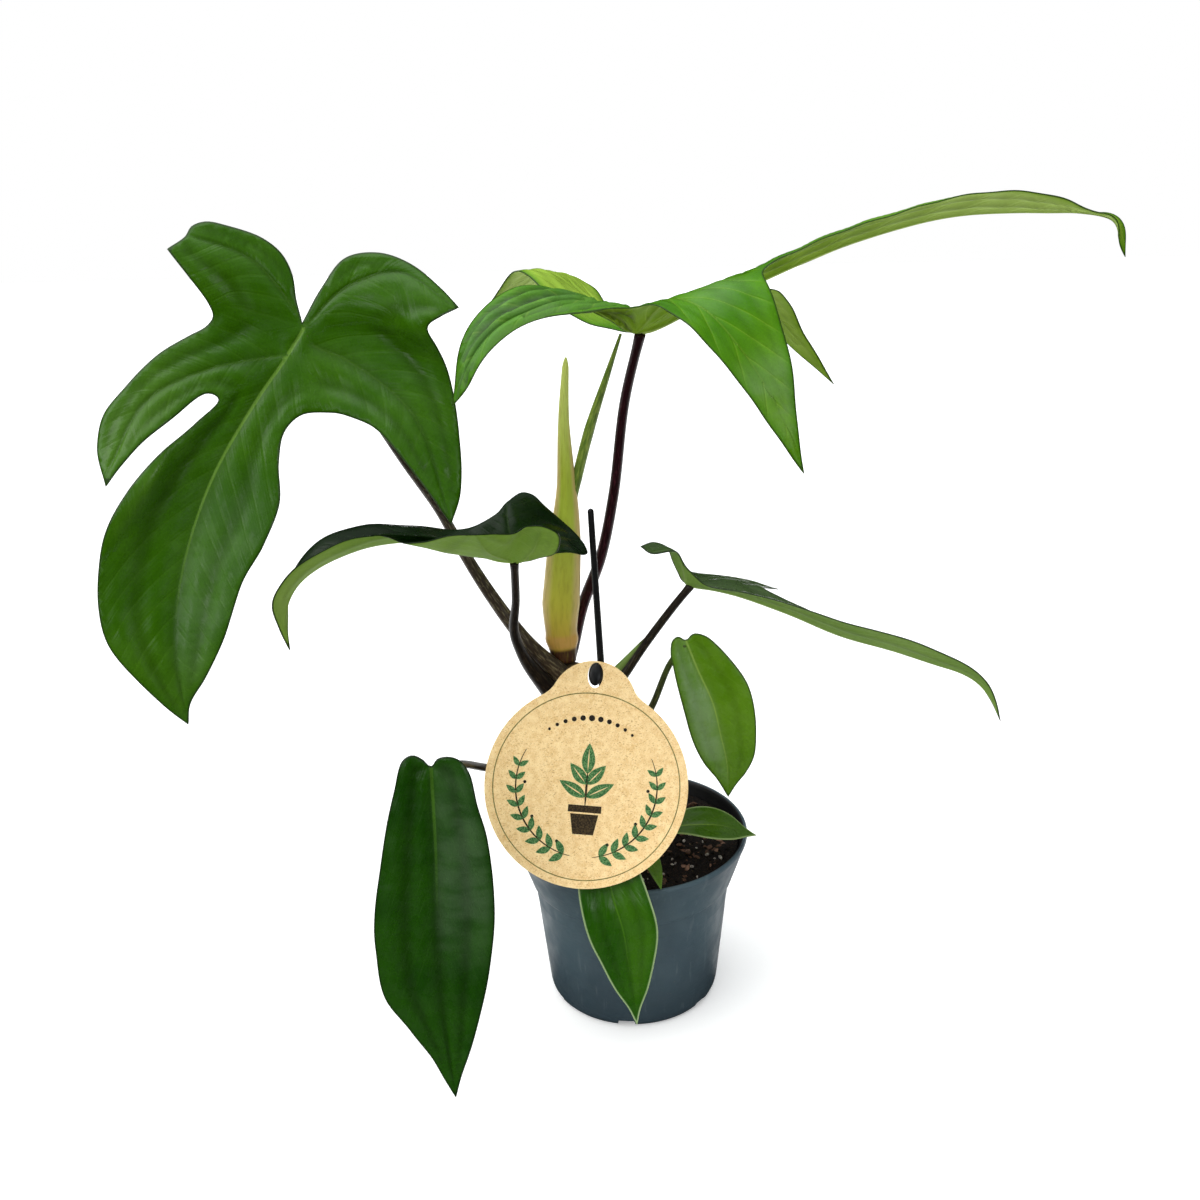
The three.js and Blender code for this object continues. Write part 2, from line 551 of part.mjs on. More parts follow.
// The blade as a thin closed solid, split into triangles alike on both faces.
function blade(leaf, grow = 0) {
  const { points, triangles, edgeCount } = flatLeaf(leaf);
  const flat = points.map((point, i) => (i < edgeCount && grow > 0
    ? pushedOut(point, points[(i + edgeCount - 1) % edgeCount], points[(i + 1) % edgeCount], grow) : point));
  const stations = leaf.ribs.flatMap(ribStations);
  const middle = flat.map((point) => placeOnPlant(stations, point));
  const normals = middle.map(() => new THREE.Vector3());
  const turned = triangles.map(([a, b, c]) => {
    const area = (points[b].x - points[a].x) * (points[c].y - points[a].y)
      - (points[c].x - points[a].x) * (points[b].y - points[a].y);
    return area > 0 ? [a, b, c] : [a, c, b];
  });
  turned.forEach(([a, b, c]) => {
    const normal = middle[b].clone().sub(middle[a]).cross(middle[c].clone().sub(middle[a]));
    [a, b, c].forEach((i) => normals[i].add(normal));
  });
  const half = BLADE_THICKNESS / 2 + grow;
  const upper = middle.map((point, i) => point.clone().addScaledVector(normals[i].normalize(), half));
  const lower = middle.map((point, i) => point.clone().addScaledVector(normals[i], -half));
  const count = middle.length;
  const index = turned.flatMap(([a, b, c]) => [a, b, c, a + count, c + count, b + count]);
  const area = points.slice(0, edgeCount).reduce((sum, a, i) => {
    const b = points[(i + 1) % edgeCount];
    return sum + a.x * b.y - b.x * a.y;
  }, 0);
  for (let i = 0; i < edgeCount; i += 1) {
    const [a, b] = area > 0 ? [i, (i + 1) % edgeCount] : [(i + 1) % edgeCount, i];
    index.push(a, a + count, b, b, a + count, b + count);
  }
  const geometry = new THREE.BufferGeometry();
  const positions = [...upper, ...lower].flatMap(({ x, y, z }) => [x, y, z]);
  geometry.setAttribute('position', new THREE.Float32BufferAttribute(positions, 3));
  geometry.setIndex(index);
  geometry.computeVertexNormals();
  return geometry;
}

function pushedOut(point, before, after, distance) {
  const along = after.clone().sub(before).normalize();
  const out = new THREE.Vector2(along.y, -along.x).multiplyScalar(distance);
  return point.clone().add(out);
}

// Pot and soil

function potGeometry() {
  const { height, rimRadius, rimWidth, rimDepth, collarRadius, collarHeight, neckRadius, neckHeight } = POT;
  const { bodyRadius, bodyHeight, footRadius, wall, floor } = POT;
  const profile = [
    [0, 0],
    [footRadius, 0],
    [bodyRadius - 1, bodyHeight * 0.4],
    [bodyRadius, bodyHeight],
    [neckRadius, neckHeight],
    [collarRadius, collarHeight],
    [rimRadius - 0.5, height - rimDepth],
    [rimRadius, height - rimDepth * 0.5],
    [rimRadius - 0.3, height],
    [rimRadius - rimWidth, height],
    [collarRadius - wall, collarHeight + 1],
    [neckRadius - wall, neckHeight],
    [bodyRadius - wall, bodyHeight + 1],
    [footRadius - wall, floor],
    [0, floor],
  ].map(([radius, z]) => new THREE.Vector2(radius, z));
  const lathe = new THREE.LatheGeometry(profile, POT.sides).rotateX(Math.PI / 2);
  const slotLength = POT.bodyRadius - POT.slotInner + 4;
  const slots = Array.from({ length: POT.slots }, (_, i) => {
    const slot = new THREE.BoxGeometry(slotLength, POT.slotWidth, POT.slotHeight * 2);
    slot.translate(POT.slotInner + slotLength / 2, 0, 0);
    return slot.rotateZ(((i + 0.4) / POT.slots) * 2 * Math.PI);
  });
  return toGeometry(slots.reduce((pot, slot) => pot.subtract(toSolid(slot)), toSolid(lathe)));
}

function soilSurface(x, y) {
  const radius = Math.hypot(x, y) / POT.rimRadius;
  const lumps = Math.sin(x * 0.31 + 1.7) * Math.cos(y * 0.27 - 0.6)
    + 0.6 * Math.sin(x * 0.53 - y * 0.61 + 2.1);
  return SOIL.height + SOIL.dome * (1 - radius ** 2) + SOIL.lump * lumps * (1 - radius ** 4) * 0.6;
}

function soilGeometry(neighbours) {
  const { wall, floor, footRadius, bodyRadius, bodyHeight, neckRadius, neckHeight, collarRadius } = POT;
  const flare = POT.rimRadius - POT.rimWidth - collarRadius + wall;
  const wallSlope = flare / (POT.height - POT.collarHeight - 1);
  const topRadius = collarRadius - wall + wallSlope * (SOIL.height - POT.collarHeight - 1) - 2 * CLEARANCE;
  const profile = [
    [0, floor + CLEARANCE],
    [footRadius - wall - CLEARANCE, floor + CLEARANCE],
    [bodyRadius - wall - 2 * CLEARANCE, bodyHeight + 1 + CLEARANCE],
    [neckRadius - wall - 2 * CLEARANCE, neckHeight],
    [collarRadius - wall - 2 * CLEARANCE, POT.collarHeight + 2],
  ];
  for (let ring = SOIL.rings; ring > 0; ring -= 1) {
    profile.push([(topRadius * ring) / SOIL.rings, SOIL.height]);
  }
  profile.push([0, SOIL.height]);
  const points = profile.map(([radius, z]) => new THREE.Vector2(radius, z));
  const geometry = new THREE.LatheGeometry(points, SOIL.sides).rotateX(Math.PI / 2);
  const place = geometry.attributes.position;
  for (let i = 0; i < place.count; i += 1) {
    if (place.getZ(i) > SOIL.height - 1) place.setZ(i, soilSurface(place.getX(i), place.getY(i)));
  }
  return toGeometry(trimmed(toSolid(geometry), neighbours));
}

// Tag, stick and stem

function oval(width, height, rise) {
  const path = new THREE.Shape();
  path.absellipse(0, rise, width / 2, height / 2, 0, 2 * Math.PI);
  return path;
}

function tagGeometry() {
  const { radius, tabRadius, tabRise, thickness } = TAG;
  const crossing = (radius ** 2 - tabRadius ** 2 + tabRise ** 2) / (2 * tabRise);
  const discAngle = Math.asin(crossing / radius);
  const tabAngle = Math.asin((crossing - tabRise) / tabRadius);
  const shape = new THREE.Shape();
  shape.absarc(0, 0, radius, Math.PI - discAngle, 2 * Math.PI + discAngle);
  shape.absarc(0, tabRise, tabRadius, tabAngle, Math.PI - tabAngle);
  shape.holes.push(oval(TAG.holeWidth, TAG.holeHeight, TAG.holeRise));
  const geometry = new THREE.ExtrudeGeometry(shape, {
    depth: thickness, bevelEnabled: false, curveSegments: 18,
  });
  return geometry.translate(0, 0, -thickness / 2);
}

function tagFrame() {
  const right = vector(TAG.right).normalize();
  const front = right.clone().cross(vector(TAG.up)).normalize();
  const up = front.clone().cross(right);
  return new THREE.Matrix4().makeBasis(right, up, front).setPosition(...TAG.centre);
}

function stickGeometry(grow = 0) {
  const { foot, top, radius, pegWidth, pegHeight, pegBack, pegFront } = STICK;
  const rod = stalk([foot, top], [radius, radius], grow, { sides: 10, step: 60 });
  if (grow > 0) return rod;
  const pegRise = TAG.holeRise + (TAG.holeHeight - pegHeight) / 2 - CLEARANCE;
  const peg = new THREE.ExtrudeGeometry(oval(pegWidth, pegHeight, pegRise), {
    depth: pegBack + pegFront, bevelEnabled: false, curveSegments: 16,
  });
  peg.translate(0, 0, -pegBack).applyMatrix4(tagFrame());
  return toGeometry(toSolid(rod).add(toSolid(peg)));
}

function stemWidth(t) {
  const swelling = Math.cos(t * STEM.nodes * 2 * Math.PI) ** 6;
  return STEM.radius + STEM.nodeBulge * swelling;
}

function stemGeometry(grow = 0) {
  return stalk(STEM.points, stemWidth, grow, { sides: 10, step: 8 });
}

// A leaf's stalk ends just under the blade, a little in from where the two lobes meet.
const STALK_SEAT = { x: 0, y: 2 };

function leafStalk(leaf, grow = 0) {
  const stations = leaf.ribs.flatMap(ribStations);
  const seat = placeOnPlant(stations, STALK_SEAT);
  const ahead = placeOnPlant(stations, { x: 0, y: STALK_SEAT.y + 2 });
  const beside = placeOnPlant(stations, { x: 2, y: STALK_SEAT.y });
  const up = beside.sub(seat).cross(ahead.sub(seat)).normalize();
  const end = seat.addScaledVector(up, -BLADE_THICKNESS / 2);
  return stalk([...leaf.stalk, end.toArray()], leaf.stalkWidths, grow);
}

function pieceMesh(name, geometry, material) {
  const mesh = new THREE.Mesh(geometry, new THREE.MeshStandardMaterial({ metalness: 0, ...material }));
  mesh.name = name;
  return mesh;
}

// Which material each leaf and each stalk has
const LEAF_FINISH = {
  left: [MATERIALS.leaf, MATERIALS.stalk],
  fold: [MATERIALS.darkLeaf, MATERIALS.stalk],
  top: [MATERIALS.brightLeaf, MATERIALS.purpleStalk],
  right: [MATERIALS.leaf, MATERIALS.stalk],
  oval: [MATERIALS.brightLeaf, MATERIALS.stalk],
  low: [MATERIALS.darkLeaf, MATERIALS.stalk],
  front: [MATERIALS.leaf, MATERIALS.stalk],
  rim: [MATERIALS.leaf, MATERIALS.stalk],
  sprout: [MATERIALS.brightLeaf, MATERIALS.stalk],
};

function buildPlant() {
  const plant = new THREE.Group();
  const stem = toSolid(stemGeometry(CLEARANCE));
  const stick = toSolid(stickGeometry(CLEARANCE));
  plant.add(pieceMesh('pot', potGeometry(), MATERIALS.pot));
  plant.add(pieceMesh('soil', soilGeometry([stem, stick]), MATERIALS.soil));
  plant.add(pieceMesh('stem', stemGeometry(), MATERIALS.stem));

  const sheathShape = { flatten: SHEATH.flatten, sides: 10 };
  const sheath = trimmed(toSolid(stalk(SHEATH.points, SHEATH.widths, 0, sheathShape)), [stem]);
  plant.add(pieceMesh('sheath', toGeometry(sheath), MATERIALS.sheath));
  const wideSheath = toSolid(stalk(SHEATH.points, SHEATH.widths, CLEARANCE, sheathShape));

  const cutters = [stem, wideSheath];
  Object.entries(LEAVES).forEach(([name, leaf]) => {
    const [bladeFinish, stalkFinish] = LEAF_FINISH[name];
    const wideBlade = toSolid(blade(leaf, CLEARANCE));
    const petiole = trimmed(toSolid(leafStalk(leaf)), [...cutters, wideBlade]);
    cutters.push(toSolid(leafStalk(leaf, CLEARANCE)));
    plant.add(pieceMesh(`petiole_${name}`, toGeometry(petiole), stalkFinish));
    plant.add(pieceMesh(`leaf_${name}`, blade(leaf), bladeFinish));
  });
  const newLeaf = trimmed(toSolid(stalk(NEW_LEAF.points, NEW_LEAF.widths)), cutters);
  plant.add(pieceMesh('new_leaf', toGeometry(newLeaf), MATERIALS.newLeaf));

  const tag = pieceMesh('tag', tagGeometry(), MATERIALS.card);
  tag.applyMatrix4(tagFrame());
  plant.add(tag);
  plant.add(pieceMesh('stick', stickGeometry(), MATERIALS.stick));
  return plant;
}

export default buildPlant();
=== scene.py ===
# A potted florida green philodendron: nine leaves on long stalks round a short stem, in a 12 cm nursery
# pot of peat, with a round card tag that hangs on a stick.

import math
import random

import bmesh
import bpy
import numpy as np
from mathutils import Matrix, Vector
from mathutils.geometry import delaunay_2d_cdt
from mathutils.kdtree import KDTree


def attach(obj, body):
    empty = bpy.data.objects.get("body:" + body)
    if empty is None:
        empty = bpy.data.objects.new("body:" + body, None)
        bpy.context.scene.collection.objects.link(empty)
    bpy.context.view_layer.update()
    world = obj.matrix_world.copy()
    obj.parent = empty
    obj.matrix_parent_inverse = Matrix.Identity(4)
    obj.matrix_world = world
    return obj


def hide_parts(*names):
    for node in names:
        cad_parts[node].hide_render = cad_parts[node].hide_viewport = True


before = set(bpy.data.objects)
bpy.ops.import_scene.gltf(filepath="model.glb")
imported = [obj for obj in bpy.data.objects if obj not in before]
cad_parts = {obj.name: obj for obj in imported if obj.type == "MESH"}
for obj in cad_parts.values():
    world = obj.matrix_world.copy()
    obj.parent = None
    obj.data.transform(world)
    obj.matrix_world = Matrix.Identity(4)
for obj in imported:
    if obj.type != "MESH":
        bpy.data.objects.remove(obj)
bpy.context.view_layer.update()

# Camera
# It stands 85 cm in front of the pot and 61 cm above the table, and looks down on the plant by 24
# degrees through a 57 mm lens. It is held by hand, so it is a little turned and tilted.

MM = 0.001
CAMERA_PLACE = Vector((0, -850, 607.1)) * MM
CAMERA_PITCH = 0.4241
CAMERA_YAW = -0.01514
CAMERA_ROLL = -0.02683

camera_data = bpy.data.cameras.new("camera")
camera_data.sensor_width = 36
camera_data.lens = 57.15
camera = bpy.data.objects.new("camera", camera_data)
bpy.context.collection.objects.link(camera)
camera.matrix_world = (
    Matrix.Translation(CAMERA_PLACE)
    @ Matrix.Rotation(-CAMERA_YAW, 4, "Z")
    @ Matrix.Rotation(math.pi / 2 - CAMERA_PITCH, 4, "X")
    @ Matrix.Rotation(CAMERA_ROLL, 4, "Z")
)
bpy.context.scene.camera = camera

# Table and daylight
# The plant stands on a sheet of matt white paper. Soft daylight falls on it from above and from
# the left, and the paper throws some of it back up under the leaves.


def paint(colour):
    """A colour as a screen shows it, from 0 to 255, as the light values that a shader takes."""
    parts = [value / 255 for value in colour]
    return [p / 12.92 if p <= 0.04045 else ((p + 0.055) / 1.055) ** 2.4 for p in parts] + [1]


class Finish:
    """The finish of one kind of surface. Its sizes are in millimetres."""

    def __init__(self, name, colour, roughness, specular):
        self.material = bpy.data.materials.new(name)
        self.material.use_nodes = True
        self.nodes = self.material.node_tree.nodes
        self.links = self.material.node_tree.links
        self.sockets = self.nodes["Principled BSDF"].inputs
        self.sockets["Base Color"].default_value = paint(colour)
        self.sockets["Roughness"].default_value = roughness
        self.sockets["Specular IOR Level"].default_value = specular
        place = self.nodes.new("ShaderNodeTexCoord").outputs["Object"]
        self.place = self.node("VectorMath", {0: place, 1: (MM, MM, MM)}, operation="DIVIDE")["Vector"]

    def node(self, kind, inputs, **settings):
        made = self.nodes.new("ShaderNode" + kind)
        for name, value in settings.items():
            setattr(made, name, value)
        for name, value in inputs.items():
            self.join(value, made.inputs[name])
        return made.outputs

    def join(self, value, socket):
        if isinstance(value, bpy.types.NodeSocket):
            self.links.new(value, socket)
        else:
            socket.default_value = value

    def sum(self, operation, first, second=0.0):
        return self.node("Math", {0: first, 1: second}, operation=operation)["Value"]

    def times(self, first, *others):
        for other in others:
            first = self.sum("MULTIPLY", first, other)
        return first

    def drawn(self, name, output="Fac"):
        """A value that is stored on the mesh's points."""
        return self.node("Attribute", {}, attribute_name=name)[output]

    def fade(self, value, low, high, start=0.0, end=1.0):
        """Runs smoothly from start to end while the value goes from low to high."""
        ends = {"Value": value, "From Min": low, "From Max": high, "To Min": start, "To Max": end}
        return self.node("MapRange", ends, interpolation_type="SMOOTHSTEP")["Result"]

    def patches(self, size, stretch=(1, 1, 1), at=None, detail=3.0):
        """Soft chance patches of about that size, mostly from 0.3 to 0.7."""
        scale = [size / part for part in stretch]
        spread = self.node("VectorMath", {0: at or self.place, 1: scale}, operation="DIVIDE")
        return self.node("TexNoise", {"Vector": spread["Vector"], "Scale": 1.0, "Detail": detail})["Fac"]

    def spots(self, size, low, high, end=1.0, **kind):
        """Such patches, faded from 0 to end while they go from low to high."""
        return self.fade(self.patches(size, **kind), low, high, 0, end)

    def coat(self, colour, share):
        """Lays a colour over those before it. share says how thickly, from 0 to 1."""
        socket = self.sockets["Base Color"]
        below = socket.links[0].from_socket if socket.links else list(socket.default_value)
        self.join(self.node("Mix", {0: share, 6: below, 7: paint(colour)}, data_type="RGBA")[2], socket)

    def shine(self, size, least, most):
        """Lets the roughness go from least to most in chance patches of about that size."""
        self.join(self.fade(self.patches(size), 0.3, 0.7, least, most), self.sockets["Roughness"])

    def relief(self, height, depth):
        """Raises the surface by up to that depth, on top of any relief given before."""
        socket = self.sockets["Normal"]
        inputs = {"Height": height, "Distance": depth * MM, "Strength": 1.0}
        if socket.links:
            inputs["Normal"] = socket.links[0].from_socket
        self.join(self.node("Bump", inputs)["Normal"], socket)


def as_mesh(name, points, faces, *finishes):
    """A smooth mesh from points in millimetres. Its faces are turned to look outwards."""
    mesh = bpy.data.meshes.new(name)
    mesh.from_pydata((np.asarray(points) * MM).tolist(), [], faces)
    body = bmesh.new()
    body.from_mesh(mesh)
    if body.calc_volume(signed=True) < 0:
        bmesh.ops.reverse_faces(body, faces=body.faces)
    body.to_mesh(mesh)
    body.free()
    for finish in finishes:
        mesh.materials.append(finish.material)
    mesh.shade_smooth()
    return mesh


def draw_on(mesh, **values):
    """Stores a number or a vector for each point of the mesh."""
    for name, value in values.items():
        value = np.asarray(value, dtype=np.float32)
        kind, key = ("FLOAT_VECTOR", "vector") if value.ndim == 2 else ("FLOAT", "value")
        mesh.attributes.new(name, kind, "POINT").data.foreach_set(key, value.ravel())


PAPER_EDGES = {"paper": (-320, 0), "far_paper": (0, 1500)}
PAPER_SIDE = 900
PAPER_DROP = 0.2
PAPER_GLOW = 0.3

white_paper = Finish("white_paper", (243, 243, 243), 0.9, 0.1)
white_paper.coat((247, 247, 247), white_paper.patches(40))
white_paper.relief(white_paper.patches(1.5), 0.02)
white_paper.sockets["Emission Color"].default_value = paint((255, 255, 255))
white_paper.sockets["Emission Strength"].default_value = PAPER_GLOW
for paper_name, (near, far) in PAPER_EDGES.items():
    corners = [(-PAPER_SIDE, near), (PAPER_SIDE, near), (PAPER_SIDE, far), (-PAPER_SIDE, far)]
    corners = [(x, y, -PAPER_DROP) for x, y in corners]
    sheet = bpy.data.objects.new(paper_name, as_mesh(paper_name, corners, [(0, 1, 2, 3)], white_paper))
    bpy.context.collection.objects.link(sheet)
    sheet.visible_glossy = paper_name == "far_paper"

# Each light's direction, its strength, how wide it is in degrees, and whether the leaves mirror it.
DAYLIGHT = {
    "skylight": ((-0.3, -0.15, 1), 2.4, 75, True),
    "left_window": ((-1, -0.7, 0.55), 1.0, 35, True),
    "front_window": ((-0.33, -0.93, 0.06), 0.25, 16, True),
    "right_window": ((0.6, -0.78, 0.1), 0.3, 14, True),
    "room_light": ((0.4, -1, 0.5), 0.4, 70, False),
}

for light_name, (direction, strength, width, mirrored) in DAYLIGHT.items():
    lamp = bpy.data.lights.new(light_name, "SUN")
    lamp.energy = strength
    lamp.angle = math.radians(width)
    shade = bpy.data.objects.new(light_name, lamp)
    bpy.context.collection.objects.link(shade)
    shade.rotation_euler = Vector(direction).to_track_quat("Z", "Y").to_euler()
    shade.visible_glossy = mirrored

sky = bpy.data.worlds.new("sky")
sky.use_nodes = True
sky_nodes, sky_links = sky.node_tree.nodes, sky.node_tree.links
height = sky_nodes.new("ShaderNodeSeparateXYZ")
sky_links.new(sky_nodes.new("ShaderNodeTexCoord").outputs["Generated"], height.inputs[0])
brightness = sky_nodes.new("ShaderNodeMapRange")
for socket_name, value in {"From Min": 0.2, "From Max": 0.9, "To Min": 0.02, "To Max": 0.8}.items():
    brightness.inputs[socket_name].default_value = value
sky_links.new(height.outputs["Z"], brightness.inputs["Value"])
soft_sky = sky_nodes["Background"]
soft_sky.inputs["Color"].default_value = (0.95, 0.98, 1, 1)
sky_links.new(brightness.outputs["Result"], soft_sky.inputs["Strength"])
far_wall = sky_nodes.new("ShaderNodeBackground")
far_wall.inputs["Color"].default_value = (1, 1, 1, 1)
seen = sky_nodes.new("ShaderNodeLightPath").outputs["Is Camera Ray"]
either = sky_nodes.new("ShaderNodeMixShader")
for place, value in enumerate((seen, soft_sky.outputs[0], far_wall.outputs[0])):
    sky_links.new(value, either.inputs[place])
sky_links.new(either.outputs[0], sky_nodes["World Output"].inputs["Surface"])
bpy.context.scene.world = sky
bpy.context.scene.view_settings.view_transform = "Standard"

# Pot
# A nursery pot of thin slate-blue polypropylene, moulded in one piece: a tapered body, a step where
# pots rest on each other when they are stacked, a flared collar with a rounded rim, and six drain
# slots at the edge of its base. It is black inside. The mould leaves a faint ring, and handling
# leaves scuffs and dust.

POT_RIM_RADIUS = 60
POT_SIDES = 168
POT_SLOTS = 6
POT_SLOT_WIDTH = 9
POT_SLOT_HEIGHT = 4
POT_SLOT_INNER = 34
POT_SKIN = 0.7
POT_FLOOR = 1.5
POT_FOOT = [(0, 0.7), (32.5, 0.7), (33.6, 0)]
POT_WALL = [
    (40, 0), (41, 0.3), (42.7, 2.2), (43.7, 4.5), (44.25, 7), (46.4, 27.5), (48.5, 48), (49.45, 57.2),
    (49.6, 57.6), (49.65, 58.1), (49.6, 58.7), (50.25, 65.4), (50.4, 66.3), (50.8, 66.8), (51.7, 67.3),
    (52.2, 67.9), (52.5, 68.8), (53.2, 71), (56.3, 80.2), (59.2, 89.3), (59.75, 90.2), (60, 91.2),
    (59.95, 92), (59.5, 92.8), (58.8, 93),
]
POT_INSIDE = [
    (58, 92.8), (57.5, 92.2), (57, 90.5), (54.2, 80.5), (51.4, 70.5), (50, 67.5), (49, 65.5), (46.1, 36.5),
    (43, 8), (41.8, 4.4), (39.8, 2), (0, 2),
]


def ring_faces(rings, sides, first=0):
    """Four-sided faces between rings of points, the first of which has that number."""
    spot = lambda i, j: first + i * sides + j % sides
    return [
        (spot(i, j), spot(i, j + 1), spot(i + 1, j + 1), spot(i + 1, j))
        for i in range(rings - 1) for j in range(sides)
    ]


def turned(profile, sides):
    """Points and faces of a body turned on a wheel. Its profile starts and ends on the axis."""
    angles = np.arange(sides) * 2 * math.pi / sides
    points = [(0, 0, profile[0][1])]
    for radius, z in profile[1:-1]:
        points.extend((radius * math.cos(a), radius * math.sin(a), z) for a in angles)
    points.append((0, 0, profile[-1][1]))
    last = len(points) - 1
    faces = [(0, 1 + (j + 1) % sides, 1 + j) for j in range(sides)]
    faces += ring_faces(len(profile) - 2, sides, 1)
    faces += [(last, last - sides + j, last - sides + (j + 1) % sides) for j in range(sides)]
    return points, faces


def add_piece(name, mesh, slot, *nodes):
    """A piece of the object that stands for those CAD nodes."""
    piece = bpy.data.objects.new(name, mesh)
    bpy.context.collection.objects.link(piece)
    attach(piece, "root")
    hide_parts(*nodes)


def slot_cutter():
    """Six blocks where the drain slots go."""
    body = bmesh.new()
    length = POT_RIM_RADIUS - POT_SLOT_INNER
    for i in range(POT_SLOTS):
        turn = Matrix.Rotation((i + 0.4) / POT_SLOTS * 2 * math.pi, 4, "Z")
        place = Matrix.Translation((POT_SLOT_INNER + length / 2, 0, 0))
        size = Matrix.Diagonal((length, POT_SLOT_WIDTH, POT_SLOT_HEIGHT * 2, 1))
        bmesh.ops.create_cube(body, size=1, matrix=turn @ place @ size)
    bmesh.ops.bevel(body, geom=body.edges, offset=0.5, segments=2, affect="EDGES")
    bmesh.ops.scale(body, vec=(MM, MM, MM), verts=body.verts)
    mesh = bpy.data.meshes.new("slot_cutter")
    body.to_mesh(mesh)
    body.free()
    return mesh


def with_slots(mesh):
    """The pot's mesh after the slots are cut out of it."""
    blank = bpy.data.objects.new("blank", mesh)
    cutter = bpy.data.objects.new("cutter", slot_cutter())
    for item in (blank, cutter):
        bpy.context.collection.objects.link(item)
    cut = blank.modifiers.new("slots", "BOOLEAN")
    cut.operation = "DIFFERENCE"
    cut.solver = "EXACT"
    cut.object = cutter
    bpy.context.view_layer.update()
    depsgraph = bpy.context.evaluated_depsgraph_get()
    done = bpy.data.meshes.new_from_object(blank.evaluated_get(depsgraph))
    for item in (blank, cutter):
        bpy.data.objects.remove(item)
    done.set_sharp_from_angle(angle=math.radians(38))
    return done


slate = Finish("slate_plastic", (58, 75, 84), 0.5, 0.3)
pot_rise = slate.node("SeparateXYZ", {"Vector": slate.place})["Z"]
slate.coat((66, 84, 92), slate.spots(22, 0.35, 0.65, stretch=(1, 1, 0.6)))
# Painted shade: the pot darkens towards its base, from 60 mm down.
slate.coat((40, 55, 63), slate.fade(pot_rise, 60, 0, 0, 0.9))
slate.coat((112, 124, 128), slate.spots(3, 0.6, 0.72, 0.16, stretch=(1, 1, 0.12), detail=6))
slate.coat((96, 92, 84), slate.spots(1.2, 0.66, 0.76, 0.3, detail=5))
slate.coat((14, 14, 15), slate.fade(slate.drawn("inside"), 0.3, 0.8))
slate.shine(9, 0.42, 0.58)
slate.relief(slate.patches(0.7, detail=2), 0.03)
slate.relief(slate.patches(5, (1, 1, 3)), 0.12)

pot_profile = POT_FOOT + POT_WALL + POT_INSIDE
pot_mesh = with_slots(as_mesh("pot_shell", *turned(pot_profile, POT_SIDES), slate))
pot_spots = np.array([point.co for point in pot_mesh.vertices]) / MM
wall_radii, wall_heights = zip(*POT_WALL)
pot_skin = np.interp(pot_spots[:, 2], wall_heights, wall_radii) - POT_SKIN
draw_on(pot_mesh, inside=(np.hypot(*pot_spots.T[:2]) < pot_skin) & (pot_spots[:, 2] > POT_FLOOR))
add_piece("pot_shell", pot_mesh, "pot", "pot")

# Soil
# Damp, nearly black peat fills the pot to just under the rim, a little domed and crumbly on top.
# Chips of bark, pale perlite and loose crumbs of peat lie in it, most of them at the front right.

SOIL_HEIGHT = 86
SOIL_TOP_RADIUS = 55.2
SOIL_RINGS = 40
SOIL_SIDES = 150
SOIL_WALL = [(0, 2.3), (39.5, 2.3), (42.3, 8.3), (48.4, 66), (50.6, 71), (54.6, 84.6)]
CRUMBS = 420
BARK_CHIPS = 84
PERLITE_GRAINS = 30


def soil_height(x, y):
    radius = np.hypot(x, y) / POT_RIM_RADIUS
    lumps = np.sin(x * 0.31 + 1.7) * np.cos(y * 0.27 - 0.6) + 0.6 * np.sin(x * 0.53 - y * 0.61 + 2.1)
    crumbs = np.sin(x * 1.13 + 2 * np.sin(y * 0.71)) * np.cos(y * 1.29 + 2 * np.sin(x * 0.83 + 1))
    fine = np.sin(x * 2.9 + 3 * np.sin(y * 1.9)) * np.cos(y * 3.1 + 2 * np.cos(x * 2.3))
    lift = 0.95 * lumps * (1 - radius**4) + 0.55 * crumbs + 0.3 * fine
    return SOIL_HEIGHT + 3 * (1 - radius**2) + lift


def soil_body():
    rows = [(SOIL_TOP_RADIUS * i / SOIL_RINGS, SOIL_HEIGHT) for i in range(SOIL_RINGS, 0, -1)]
    points, faces = turned(SOIL_WALL + rows + [(0, SOIL_HEIGHT)], SOIL_SIDES)
    points = np.array(points)
    top = points[:, 2] > SOIL_HEIGHT - 0.5
    points[top, 2] = soil_height(points[top, 0], points[top, 1])
    return points, faces


def scattered(count, seed, longest, shortest, flatness, lean=0.0):
    """Chance bits on the soil, each a lump with hewn faces. lean draws them to the front right."""
    chance = random.Random(seed)
    points, faces = [], []
    lump = bmesh.new()
    bmesh.ops.create_icosphere(lump, subdivisions=1, radius=1)
    corners = [v.co.copy() for v in lump.verts]
    sides = [[v.index for v in f.verts] for f in lump.faces]
    lump.free()
    for _ in range(count):
        angle = chance.uniform(-math.pi, math.pi)
        if chance.random() < lean:
            angle = chance.gauss(-0.65, 0.55)
        radius = (SOIL_TOP_RADIUS - 4) * math.sqrt(chance.random())
        x, y = radius * math.cos(angle), radius * math.sin(angle)
        size = chance.uniform(shortest, longest) * chance.uniform(0.6, 1)
        shape = Matrix.Diagonal((size / 2, size * chance.uniform(0.25, 0.4), size / 2 * flatness))
        turn = Matrix.Rotation(chance.uniform(0, 2 * math.pi), 3, "Z")
        tilt = Matrix.Rotation(chance.gauss(0, 0.5), 3, "X")
        middle = Vector((x, y, float(soil_height(x, y)) + size * flatness * 0.12))
        start = len(points)
        for corner in corners:
            points.append(middle + turn @ tilt @ shape @ (corner * chance.uniform(0.72, 1.15)))
        faces += [[start + i for i in side] for side in sides]
    return points, faces


peat = Finish("damp_peat", (10, 9, 8), 0.95, 0.2)
peat_grains = peat.spots(1.1, 0.4, 0.66, detail=6)
peat.coat((38, 27, 20), peat_grains)
peat.coat((22, 17, 14), peat.spots(7, 0.35, 0.65, 0.5))
peat.relief(peat_grains, 0.5)

